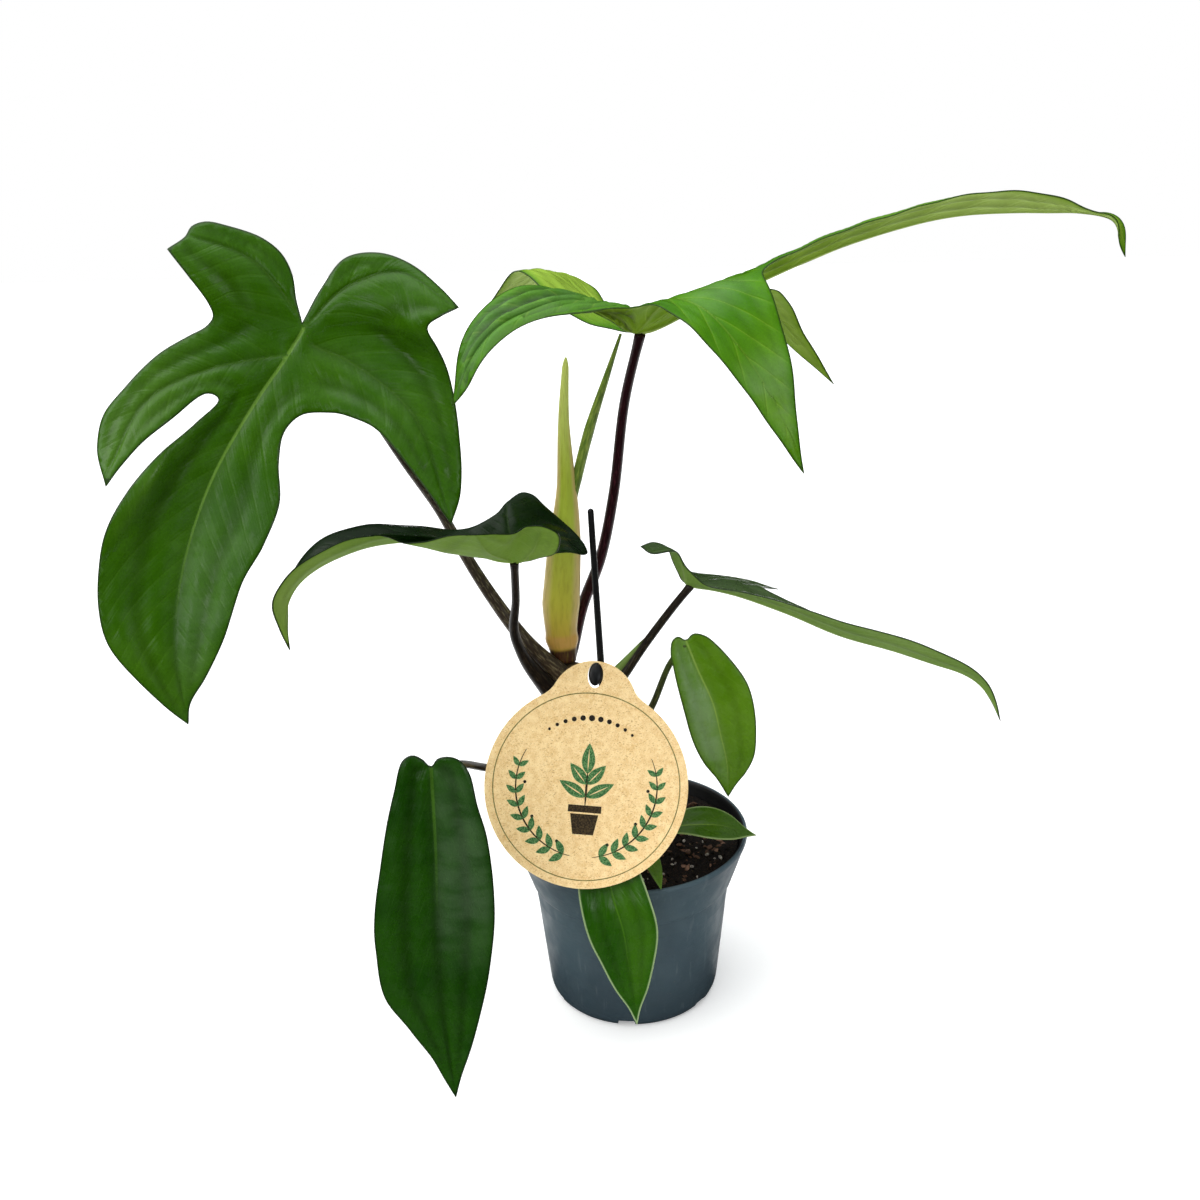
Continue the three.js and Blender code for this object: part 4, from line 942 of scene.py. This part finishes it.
add_leaf(
    "fold", slot="leaf_dark", vein_gap=10, slant=1, veins=0.08, side_ribs=0.3, rib_fade=0.9, quilt=0.2,
    pleats=(0.3, 2), margin=(22, 38, 16), specular=0.14, glow=[(0, 0, 0.6, 1.4, 0.35)],
    upper=((8, 30, 2), (20, 46, 8), (56, 82, 34)), under=((104, 138, 44), (124, 154, 64), (150, 174, 92)),
    outline=[
        (0, -2, 1), (4, -11), (11, -21), (20, -27), (29, -26), (36, -18), (38, -7), (46, 0), (53, 7),
        (54, 13), (42, 15), (28, 15.5), (20, 24), (18, 43), (19, 62), (19, 80), (15.5, 98), (9.5, 115),
        (3.5, 130), (0, 143, 1), (-4, 131), (-14, 118), (-20, 100), (-23, 86), (-26, 74), (-31, 63),
        (-37, 53), (-44, 43), (-51, 33), (-56, 20), (-54, 8), (-48, -3), (-41, -10), (-40, -17), (-33, -23),
        (-19, -21), (-9, -16), (-4, -9),
    ],
    ribs=[
        ([(0, 0), (0, 40), (0, 81), (0, 112), (0, 131), (0, 143)],
         [(-51, -28, 256), (-85, -42, 274), (-121, -61, 278), (-146, -75, 267), (-152, -82, 251),
          (-150, -85, 240)],
         [(0, 0.28, 0.96), (0, 0.28, 0.96), (-0.15, 0.18, 0.97), (-0.4, 0.1, 0.9), (-0.6, 0.6, 0.4),
          (-0.6, 0.6, 0.4)], 26, 0.002),
        ([(0, 0), (-14, -8), (-34, -15)],
         [(-51, -28, 256), (-42, -43, 270), (-38.5, -52, 281)],
         [(0.1, 0.6, 0.8), (0.3, 0.6, 0.7)], 8, 0.004),
        ([(0, 0), (15, -8), (36, -15)],
         [(-51, -28, 256), (-36, -11, 261.5), (-21.5, 0, 254.5)],
         [(0, -0.2, 0.98), (0.4, -0.2, 0.9)], 4, 0.004),
        ([(0, 2), (28, 10), (54, 19)],
         [(-52, -28, 257), (-56, -8, 272), (-55, 8, 277.5)],
         [(0, -0.1, 0.99), (0, -0.1, 0.99)], 3, 0.002),
        ([(0, 2), (-28, 12), (-54, 19)],
         [(-52, -28, 257), (-62, -50, 271), (-66, -68, 286.5)],
         [(0, 0.65, 0.75), (0, 0.65, 0.75)], 3, 0.002),
    ],
)
add_leaf(
    "top", slot="leaf_bright", vein_gap=21, slant=2.4, veins=0.22, side_ribs=0.2, rib_fade=0.9, quilt=0.4,
    pleats=(1.3, 3), margin=(44, 66, 20), step=1.6, specular=0.12, pleat_shares=(0.5, 0.2, 1.45, 0.2, 0.3),
    film=[(1, 0, 0.6, 0.95, 0.2), (1, -1, 0.3, 0.5, 0.12), (2, 0, 0.1, 1.3, 0.16)],
    glow=[(0, 0, 0.25, 1.5, 0.7), (1, 0, 0.5, 1.4, 0.2), (3, 0, 0.1, 1.2, 1), (4, 0, 0.2, 1.4, 0.3)],
    upper=((58, 114, 0), (88, 144, 2), (144, 178, 58)),
    under=((112, 150, 14), (138, 172, 44), (176, 200, 108)),
    outline=[
        (0, -3, 1), (8, -12), (13, -26), (26, -45), (45, -65), (60, -80), (72, -92, 1), (71, -78),
        (63, -58), (52, -38), (46, -20), (42, -4), (43, 7), (51, 17), (63, 33), (74, 53), (83, 75),
        (92, 100, 1), (76, 86), (60, 74), (42, 62), (28, 58), (22, 66), (21, 84), (23, 110), (25, 140),
        (24, 168), (19, 188), (13, 204), (6, 216), (4, 222), (6, 230), (5, 242), (0, 256, 1), (-5, 242),
        (-6, 230), (-4, 222), (-6, 217), (-13, 204), (-19, 188), (-24, 168), (-25, 140), (-21, 110),
        (-18, 84), (-20, 66), (-28, 56), (-42, 58), (-60, 68), (-77, 83), (-92, 100, 1), (-85, 72),
        (-76, 50), (-61, 33), (-43, 21), (-27, 11), (-22, 0), (-36, -10), (-62, -19), (-80, -42),
        (-78, -66, 1), (-57, -62), (-35, -55), (-14, -39), (-6, -18),
    ],
    ribs=[
        ([(0, 0), (0, 36), (0, 59), (0, 83), (0, 110), (0, 154), (0, 201), (0, 222), (0, 234), (0, 256)],
         [(7, -20, 364), (40, -13, 376), (61, -8, 383), (84, -2, 391), (109, 4, 398.5), (151, 13, 406),
          (198, 20, 405), (219, 22, 402.5), (228, 23, 398.5), (234, 22, 383)],
         [(-0.3, 0.45, 0.85), (-0.1, 0.5, 0.86), (0, 0.5, 0.86), (0, 0.4, 0.9), (0.1, 0.3, 0.95),
          (0.5, -0.8, 0.3)], (19, 18), 0.001),
        ([(0, 0), (18, 8), (32, 18), (48, 34), (64, 56), (78, 80), (90, 98)],
         [(7, -20, 364), (14, -34, 377), (22, -44, 385), (36, -56, 383), (55, -68, 363), (69, -75, 339),
          (77, -78, 319)],
         [(-0.2, 0.7, 0.7), (0, 0.2, 0.98), (0.3, -0.8, 0.5), (0.3, -0.9, 0.25), (0.3, -0.93, 0.2)],
          2, 0.002),
        ([(0, 0), (14, -8), (28, -20), (42, -38), (54, -56), (63, -72), (71, -88)],
         [(7, -20, 364), (1, -34, 376), (-9, -42, 383), (-30, -56, 387), (-51, -66, 381), (-63, -72, 369),
          (-70, -74, 352)],
         [(0, 0.7, 0.7), (0, 0.2, 0.98), (-0.2, -0.5, 0.85), (-0.5, -0.7, 0.5), (-0.7, -0.7, 0.2)],
          4, 0.003),
        ([(0, 0), (-20, -10), (-40, -24), (-56, -40), (-70, -58)],
         [(7, -20, 364), (-3, -2, 366), (-17, 14, 372.5), (-33, 27, 379.5), (-57, 33, 365)],
         [(0, 0.3, 0.95), (-0.1, 0.5, 0.86), (-0.25, 0.4, 0.88)], 4, 0.003),
        ([(0, 0), (-24, 13), (-44, 32), (-64, 56), (-78, 78), (-90, 98)],
         [(7, -20, 364), (27, -4, 366), (51, 14, 368), (70, 30, 359), (86, 38, 341), (103, 42, 319)],
         [(-0.3, 0.35, 0.9), (0.2, 0.6, 0.75), (0.5, 0.8, 0.4)], 3, 0.002),
    ],
)
add_leaf(
    "right", slot="leaf_green", vein_gap=16, slant=5, veins=0.2, side_ribs=0.4, rib_fade=1.2, quilt=0.1,
    pleats=(0.45, 2), margin=(30, 46, 22), flutter=0.1, upper=((54, 78, 34), (80, 104, 56), (114, 138, 86)),
    under=((100, 132, 52), (124, 152, 76), (154, 176, 108)),
    outline=[
        (0, -2, 1), (4, -9), (9, -19), (14, -27), (18, -34), (25, -39, 1), (27, -33), (23, -26), (16, -18),
        (11, -8), (11, 2), (13, 14), (15, 28), (17, 42), (19, 60), (20, 85), (19, 108), (14, 129),
        (7.5, 146), (3, 158), (0, 171, 1), (-3, 158), (-7.5, 146), (-14, 129), (-19, 108), (-21, 85),
        (-19, 62), (-18, 48), (-20, 38), (-28, 38), (-44, 44, 1), (-43, 31), (-36, 18), (-26, 6), (-16, -3),
        (-11, -9, 1), (-7, -8), (-3, -5),
    ],
    ribs=[
        ([(0, 0), (0, 24), (0, 50), (0, 78), (0, 105), (0, 125), (0, 138), (0, 148), (0, 158), (0, 171)],
         [(30, 0, 231), (53, -6, 228), (78, -12, 220.5), (103, -18, 211), (129, -25, 205), (147, -30, 200),
          (160, -33, 196), (168, -35, 191), (174, -36, 183), (179, -36, 171)],
         [(0.1, 0.35, 0.93), (0.2, 0.45, 0.86), (0.2, 0.45, 0.86), (0.6, 0.4, 0.7)], (18, 20), 0.001),
        ([(0, 0), (9, -9), (18, -22), (27, -34)],
         [(30, 0, 231), (28, -6, 242.5), (22.5, -15, 254.5), (11.5, -20, 256)],
         [(0.1, 0.7, 0.65), (0.3, 0.6, 0.65), (0.2, 0.2, 0.9), (0.1, -0.6, 0.8)], 6, 0.006),
        ([(0, 0), (-14, 10), (-28, 22), (-42, 38)],
         [(30, 0, 231), (44, 12, 228), (58, 20, 223), (69, 24, 218.5)],
         [(0.1, 0.4, 0.9), (0.2, 0.2, 0.95)], 3, 0.003),
        ([(0, 0), (-5, -4), (-10, -8)],
         [(30, 0, 231), (29, 1, 236), (26, 2, 241)],
         [(0.7, -0.3, 0.5), (0.7, -0.4, 0.5)], 3, 0.003, 0.2),
    ],
)
add_leaf(
    "oval", slot="leaf_bright", vein_gap=10, slant=1.3, veins=0.05, rib_fade=1.1, quilt=0.15,
    pleats=(0.3, 2), margin=(44, 66, 20), step=1.7, flutter=0.1, size=SMALL_LEAF,
    film=[(0, 1, -0.1, 1, 0.36)], upper=((74, 116, 6), (98, 138, 34), (128, 158, 66)),
    under=((116, 142, 62), (134, 158, 80), (156, 176, 102)),
    outline=[
        (0, 0), (4, -2), (7, 0), (8, 7), (7, 13), (3, 38), (-1, 53), (-7, 66), (-14, 76), (-20, 87, 1),
        (-24, 80), (-29, 73), (-33, 64), (-34, 52), (-33, 38), (-30, 25.5), (-24, 14.5), (-16.5, 4.5),
        (-10, -1.5), (-4, -3),
    ],
    ribs=[
        ([(0, 0), (-6, 17), (-12, 35), (-16, 52), (-19, 67), (-20, 87)],
         [(29, -1, 201), (35, -3, 185), (42, -5, 168), (46, -6, 150), (49, -6, 135), (50, -4, 113)],
         [(0.1, -0.95, 0.3), (0.1, -0.98, 0.1)], 12, 0.004),
    ],
)
add_leaf(
    "low", slot="leaf_dark", vein_gap=14, slant=2.6, veins=0.05, rib_fade=0.42, quilt=0.32, pleats=(0.7, 2),
    margin=(16, 34, 8), film=[(0, -1, -0.1, 0.62, 0.1)], upper=((16, 54, 0), (34, 76, 4), (62, 100, 26)),
    under=((96, 126, 56), (116, 144, 74), (140, 164, 94)),
    outline=[
        (0, 0), (4, -3.5), (8.5, -5.5), (13, -3), (17, 12), (20.5, 28), (23, 45), (26, 76), (25, 92),
        (19.5, 118), (8, 134), (-1, 148), (-7, 162), (-12, 173, 1), (-15, 162), (-22, 140), (-28, 112),
        (-30, 92), (-30.5, 70), (-26, 34), (-21.5, 18), (-17.5, 2), (-13, -4), (-8, -5.5), (-3, -4),
    ],
    ribs=[
        ([(0, 0), (-2, 42), (-4, 83), (-7, 120), (-10, 149), (-12, 173)],
         [(-90, -95, 185), (-90, -100, 143), (-91, -105, 102), (-91, -109, 65), (-89, -111, 36),
          (-87, -112, 13)],
         [(0, -0.97, 0.25), (0, -0.99, 0.05)], 10, 0.004),
    ],
)
add_leaf(
    "front", slot="leaf_green", vein_gap=12, slant=2.4, rib_fade=0.7, quilt=0.24, pleats=(0.35, 2),
    margin=(148, 170, 120), step=1.5, size=SMALL_LEAF, glow=[(0, -1, -0.1, 1.1, 0.4)],
    upper=((24, 68, 0), (46, 92, 0), (62, 106, 14)),
    outline=[
        (0, 0), (5, -3), (10, 3), (15, 15), (17, 30), (17, 44), (13, 60), (8, 76), (3, 88), (0, 98, 1),
        (-3, 88), (-8, 76), (-13, 60), (-17, 44), (-17, 30), (-15, 15), (-10, 3), (-5, -3),
    ],
    ribs=[
        ([(0, 0), (0, 13), (0, 27), (0, 42), (0, 67), (0, 98)],
         [(-15, -52, 113), (-12, -64, 108), (-9, -71, 96), (-5, -74, 81), (-2, -75, 56), (1, -74, 25)],
         [(0, -0.2, 0.98), (0, -0.9, 0.4), (0, -0.97, 0.2), (0, -0.99, 0.05)], 10, 0.003),
    ],
)
add_leaf(
    "rim", slot="leaf_green", vein_gap=10, slant=1.6, quilt=0.15, pleats=(0.15, 2), margin=(128, 150, 92),
    step=1.3, size=SMALL_LEAF, upper=((46, 80, 4), (66, 98, 20), (98, 126, 50)),
    outline=[
        (0, 0), (2.5, -1), (4, 4), (6.5, 13), (9.5, 22), (10, 28), (8, 36), (3, 44.5), (0, 50, 1), (-3, 44),
        (-8, 35), (-11, 24), (-10, 13), (-7, 3), (-4, -2),
    ],
    ribs=[
        ([(0, 0), (0, 14), (0, 30), (0, 51)],
         [(16, -26, 108), (30, -26, 110), (45, -24, 108), (64, -21, 100)],
         [(0, -0.35, 0.94), (0.2, -0.35, 0.92)], 12, 0.006),
    ],
)
add_leaf(
    "sprout", slot="leaf_bright", vein_gap=8, slant=1.6, quilt=0.1, pleats=(0.1, 1), margin=(84, 112, 44),
    step=1.2, size=SMALL_LEAF, upper=((62, 96, 10), (82, 118, 30), (110, 140, 58)),
    outline=[
        (0, 0), (3, 2), (5, 10), (5, 20), (3, 29), (0, 36, 1), (-3, 29), (-5, 20), (-5, 10), (-3, 2),
    ],
    ribs=[
        ([(0, 0), (0, 12), (0, 25), (0, 36)],
         [(1, -32, 113), (6, -43, 109), (11, -53, 102), (14, -60, 94.4)],
         [(0.3, -0.4, 0.87), (0.5, -0.7, 0.5)], 14, 0.006),
    ],
)

# Sheath and new leaf
# The newest leaf is still rolled up and comes out of the side of a tall pointed sheath, which clasps
# the crown on a swollen ring. The sheath is yellow-green in the middle and cream and pink at its sides.

SHEATH_PATH = [
    (-32, 14, 183.4), (-33, 14, 206), (-31, 13, 234), (-28, 12, 271), (-28, 11, 313), (-26, 10, 344),
]
SHEATH_WIDTHS = (6.2, 9.4, 8.2, 4.6, 2.7, 1.4)
SHEATH_FLATTEN = 0.55
SHEATH_RING = 0.075
NEW_LEAF_PATH = [(-27, 14, 258), (-24, 13, 276), (-16, 12, 307), (-7, 11, 334), (0, 9, 355)]
NEW_LEAF_WIDTHS = (1.4, 2.3, 2.3, 1.5, 0.6)


def sheath_radius(share, angle):
    radius = np.interp(share, np.linspace(0, 1, len(SHEATH_WIDTHS)), SHEATH_WIDTHS)
    keel = (np.abs(np.cos(angle)) ** 1.75 + np.abs(np.sin(angle)) ** 1.75) ** (-1 / 1.75)
    ring = 0.12 * hump(share - SHEATH_RING, 0.02)
    seam = -0.1 * hump(angle - 4.4, 0.12) * held(share * 4 - 0.6)
    tip = np.sqrt(held((1.001 - share) / 0.03))
    return radius * tip * (keel + ring + seam + 0.012 * np.sin(11 * angle))


def new_leaf_radius(share, angle):
    radius = np.interp(share, np.linspace(0, 1, len(NEW_LEAF_WIDTHS)), NEW_LEAF_WIDTHS)
    return radius * (1 + 0.1 * np.cos(2 * angle) + 0.14 * hump(angle - 4.9, 0.3))


def sheath_finish():
    skin = Finish("sheath_skin", (196, 186, 62), 0.42, 0.4)
    fibre, share = fibres(skin, 1, 5), skin.drawn("share")
    to_ring = skin.sum("ABSOLUTE", skin.sum("SUBTRACT", share, SHEATH_RING))
    skin.coat((176, 194, 62), skin.fade(share, 0.05, 0.55))
    skin.coat((206, 184, 116), skin.fade(skin.sum("ABSOLUTE", skin.drawn("side")), 0.45, 0.95))
    skin.coat((158, 104, 50), skin.fade(share, 0.22, 0.02, 0, 0.6))
    skin.coat((214, 228, 118), skin.fade(share, 0.6, 0.9, 0, 0.9))
    skin.coat((190, 150, 74), skin.fade(to_ring, 0.03, 0.012))
    skin.coat((58, 30, 16), skin.fade(share, 0.055, 0.04))
    skin.coat((140, 130, 36), skin.fade(fibre, 0.45, 0.7, 0, 0.3))
    skin.relief(fibre, 0.2)
    return skin


def new_leaf_finish():
    skin = Finish("new_leaf_skin", (96, 124, 40), 0.4, 0.4)
    fibre = fibres(skin, 0.8, 5)
    skin.coat((142, 164, 66), skin.fade(fibre, 0.4, 0.65))
    skin.relief(fibre, 0.2)
    return skin


sheath_body = rod(SHEATH_PATH, sheath_radius, sides=48, step=1.6, dome=0.4, flatten=SHEATH_FLATTEN)
add_rods("tall_sheath", [sheath_body], sheath_finish(), "sheath", "sheath")
new_leaf_body = rod(NEW_LEAF_PATH, new_leaf_radius, sides=28, step=1.6, dome=0.5)
add_rods("rolled_leaf", [new_leaf_body], new_leaf_finish(), "new_leaf", "new_leaf")

# Stick
# A thin black plastic stick is pushed into the peat behind the card. An oval peg stands out from it,
# goes through the hole in the card, and holds the card up.

TAG_CENTRE = np.array([-21, -53, 149])
TAG_RIGHT = unit(np.array([97.0, 0, -11]))
TAG_FRONT = unit(np.cross(TAG_RIGHT, [10, 45, 93]))
TAG_UP = np.cross(TAG_FRONT, TAG_RIGHT)
STICK_PATH = [(-6.4, -39.5, 35), (-16, -14, 277)]
STICK_FOOT = 2.1
STICK_TOP = 1.4
PEG_WIDTH = 6.4
PEG_HEIGHT = 11.2
PEG_RISE = 54.2
PEG_BACK = 7
PEG_FRONT = 1.8


def on_tag(right, up, front=0.0):
    return TAG_CENTRE + right * TAG_RIGHT + up * TAG_UP + front * TAG_FRONT


def stick_radius(share, angle):
    return STICK_FOOT + (STICK_TOP - STICK_FOOT) * share + 0.08 * np.cos(4 * angle)


def peg_radius(share, angle):
    return (np.hypot(np.cos(angle) / PEG_WIDTH * 2, np.sin(angle) / PEG_HEIGHT * 2)) ** -1 + 0 * share


black_plastic = Finish("black_plastic", (12, 13, 14), 0.32, 0.25)
black_plastic.coat((26, 28, 29), black_plastic.spots(4, 0.5, 0.75, stretch=(1, 1, 0.2), detail=5))
black_plastic.shine(2, 0.3, 0.46)
black_plastic.relief(black_plastic.patches(0.8), 0.04)
stick_body = rod(STICK_PATH, stick_radius, sides=24, step=6, dome=1.6)
peg_path = [on_tag(0, PEG_RISE, front) for front in (-PEG_BACK, PEG_FRONT)]
peg_body = rod(peg_path, peg_radius, sides=40, step=1, dome=1.2)
add_rods("stick_and_peg", [stick_body, peg_body], black_plastic, "stick", "stick")

# Tag
# A round card with a tab, stamped out of pale brown kraft card with paler cut edges, leaning back a
# little on the plant. It is printed with a sprout in a flower pot, a wreath of sprigs round it, a bow
# of dots over it and a thin ring.

TAG_RADIUS = 49
TAG_TAB_RADIUS = 20.9
TAG_TAB_RISE = 39.6
TAG_FACE = 0.45
TAG_EASE = 0.12
TAG_HOLE_RISE = 53.6
TAG_HOLE_WIDTH = 7.4
TAG_HOLE_HEIGHT = 12.2
INK_THICKNESS = 0.05
INK_EASE = 0.01
WREATH_RADIUS = 34
WREATH_LEAVES = 9
DOT_BOW_RADIUS = 33
DOT_SPAN = 5
DOT_SPACING = 0.13
DOT_RADIUS = 1.5
DOT_SHRINK = 0.16
RING_OUTSIDE = 45.2
RING_INSIDE = 44.7
SPROUT_FOOT = -9
FULL_TURN = 2 * math.pi


def arc(radius, start, end, count, rise=0.0, narrow=1.0):
    angle = np.linspace(start, end, count)
    return np.stack([radius * narrow * np.cos(angle), radius * np.sin(angle) + rise], 1)


def circle(radius, count):
    return arc(radius, 0, FULL_TURN, count + 1)[:-1]


def toward(angle):
    return np.array([math.cos(angle), math.sin(angle)])


def tag_outline():
    """The disc and its tab as one outline, with the corners between them eased."""
    crossing = (TAG_RADIUS**2 - TAG_TAB_RADIUS**2 + TAG_TAB_RISE**2) / (2 * TAG_TAB_RISE)
    disc = math.asin(crossing / TAG_RADIUS)
    tab = math.asin((crossing - TAG_TAB_RISE) / TAG_TAB_RADIUS)
    disc_edge = arc(TAG_RADIUS, math.pi - disc, FULL_TURN + disc, 160)
    tab_edge = arc(TAG_TAB_RADIUS, tab, math.pi - tab, 48, TAG_TAB_RISE)[1:-1]
    edge = np.concatenate([disc_edge, tab_edge])
    for corner in (0, len(disc_edge) - 1):
        near = (corner + np.arange(-3, 4)) % len(edge)
        for _ in range(6):
            edge[near] = (np.roll(edge, 1, axis=0)[near] + np.roll(edge, -1, axis=0)[near]) / 2
    return edge


def inset(loop, distance):
    ahead = unit(np.roll(loop, -1, axis=0) - np.roll(loop, 1, axis=0))
    return loop + distance * np.stack([-ahead[:, 1], ahead[:, 0]], 1)


def add_stamped(name, shapes, bottom, top, ease, finish):
    """A piece made of flat sheets in the tag's plane. Each shape is its outline, then the holes in it."""
    body = bmesh.new()
    levels = ((bottom, ease), (bottom + ease, 0), (top - ease, 0), (top, ease))
    for loops in shapes:
        rings = []
        for front, ease_by in levels:
            corners = [[on_tag(x, y, front) * MM for x, y in inset(loop, ease_by)] for loop in loops]
            rings.append([[body.verts.new(place) for place in loop] for loop in corners])
        for low, high in zip(rings, rings[1:]):
            for a, b in zip(low, high):
                for i in range(len(a)):
                    body.faces.new((a[i - 1], a[i], b[i], b[i - 1]))
        for ring in (rings[0], rings[-1]):
            edges = [body.edges.get((loop[i - 1], loop[i])) for loop in ring for i in range(len(loop))]
            bmesh.ops.triangle_fill(body, edges=edges, use_beauty=True)
    bmesh.ops.recalc_face_normals(body, faces=body.faces)
    mesh = bpy.data.meshes.new(name)
    body.to_mesh(mesh)
    body.free()
    mesh.materials.append(finish.material)
    mesh.shade_smooth()
    mesh.set_sharp_from_angle(angle=math.radians(30))
    add_piece(name, mesh, "card", "tag")


def stroke(line, width):
    """The outline of a stroke of ink along a line, thinner at its ends."""
    ahead = unit(np.gradient(line, axis=0))
    aside = np.stack([-ahead[:, 1], ahead[:, 0]], 1) * width / 2
    aside = aside * np.sin(np.linspace(0.35, math.pi - 0.35, len(line)))[:, None]
    return np.concatenate([line - aside, (line + aside)[::-1]])


def sprig_leaf(foot, angle, length, width):
    """A plain pointed leaf that stands on its foot at that angle."""
    share = np.linspace(0, 1, 12)
    half = width / 2 * np.sin(share * math.pi) ** 0.8 * (1.15 - 0.5 * share)
    side = np.stack([share * length, half], 1)
    shape = np.concatenate([side * (1, -1), side[-2:0:-1]])
    return foot + shape @ np.array([toward(angle), toward(angle + math.pi / 2)])


def slit_leaf(foot, angle, length, width):
    """A leaf whose main vein is left bare."""
    vein = sprig_leaf(foot + 0.12 * length * toward(angle), angle, 0.7 * length, 0.6)[::-1]
    return [sprig_leaf(foot, angle, length, width), vein]


def wreath():
    """Two bent sprigs that nearly meet at the bottom: their stems, their leaves, and berries between."""
    stems, leaves, berries = [], [], []
    for way in (1, -1):
        angle = -math.pi / 2 + way * np.linspace(0.16, 2.05, 60)
        line = np.stack([np.cos(angle), np.sin(angle)], 1) * WREATH_RADIUS
        stems.append([stroke(line, 0.8)[::way]])
        for i in range(WREATH_LEAVES):
            spot = angle[3 + i * 6]
            foot = toward(spot) * WREATH_RADIUS
            along = spot + way * math.pi / 2
            for lean in (0.8, -0.8):
                leaves.append([sprig_leaf(foot, along + lean, 7.8 - 0.3 * i, 3.8 - 0.14 * i)])
            if i % 3 == 1:
                berries.append([circle(0.8, 12) + foot + 4.4 * toward(along + 1.75 * way)])
    return stems, leaves, berries


def potted_sprout():
    """A sprout with five leaves, and the flower pot that it stands in."""
    foot = np.array([0, SPROUT_FOOT])
    stem = stroke(foot + np.stack([np.zeros(20), np.linspace(0, 16, 20)], 1), 1.1)
    leaves = [slit_leaf(foot + (0, 15), math.pi / 2, 15, 7)]
    for rise, lean, length in ((4, 0.5, 15), (10, 0.85, 13)):
        for angle in (lean, math.pi - lean):
            leaves.append(slit_leaf(foot + (0, rise), angle, length, 6.4))
    rim = foot + [(-8, -3.4), (8, -3.4), (8, 0), (-8, 0)]
    body = foot + [(-5, -14), (5, -14), (6.8, -4.2), (-6.8, -4.2)]
    return [[stem], [rim], [body]], leaves


def ink(name, dark, light):
    """Matt ink that has sunk a little unevenly into the card."""
    layer = Finish(name, dark, 0.8, 0.2)
    layer.coat(light, layer.spots(0.7, 0.4, 0.62, detail=5))
    layer.relief(layer.patches(0.5), 0.02)
    return layer


kraft = Finish("kraft_card", (226, 188, 128), 0.85, 0.25)
kraft_place = kraft.node("Mapping", {"Vector": kraft.place, "Rotation": (0.45, 0.1, 0)})["Vector"]
kraft_fibres = kraft.spots(0.9, 0.42, 0.66, stretch=(3, 1, 1), at=kraft_place, detail=6)
kraft_flecks = kraft.spots(0.9, 0.58, 0.66, 0.65, stretch=(1, 1, 2), at=kraft_place, detail=3)
kraft.coat((243, 213, 157), kraft.spots(3.2, 0.3, 0.7, detail=7))
kraft.coat((250, 226, 176), kraft.times(kraft_fibres, 0.6))
kraft.coat((174, 126, 70), kraft_flecks)
kraft.relief(kraft_fibres, 0.05)

hole = arc(TAG_HOLE_HEIGHT / 2, FULL_TURN, 0, 49, 0, TAG_HOLE_WIDTH / TAG_HOLE_HEIGHT)[:-1]
hole = hole + (0, TAG_HOLE_RISE)
add_stamped("kraft_card", [[tag_outline(), hole]], -TAG_FACE, TAG_FACE, TAG_EASE, kraft)

sprig_stems, sprig_leaves, sprig_berries = wreath()
sprout_body, sprout_leaves = potted_sprout()
dots = [
    [circle(DOT_RADIUS - DOT_SHRINK * abs(i), 16) + toward(math.pi / 2 - DOT_SPACING * i) * DOT_BOW_RADIUS]
    for i in range(-DOT_SPAN, DOT_SPAN + 1)
]
ring_line = [[circle(RING_OUTSIDE, 160), arc(RING_INSIDE, FULL_TURN, 0, 161)[:-1]]]
for print_name, print_shapes, print_ink in (
    ("print_stems", sprig_stems + sprout_body, ink("brown_ink", (36, 28, 18), (70, 56, 34))),
    ("print_leaves", sprig_leaves + sprout_leaves, ink("green_ink", (44, 88, 50), (96, 138, 84))),
    ("print_berries", sprig_berries + dots, ink("black_ink", (20, 16, 14), (50, 42, 34))),
    ("print_ring", ring_line, ink("olive_ink", (96, 92, 46), (138, 128, 76))),
):
    ink_levels = (TAG_FACE - INK_THICKNESS, TAG_FACE + INK_THICKNESS, INK_EASE)
    add_stamped(print_name, print_shapes, *ink_levels, print_ink)
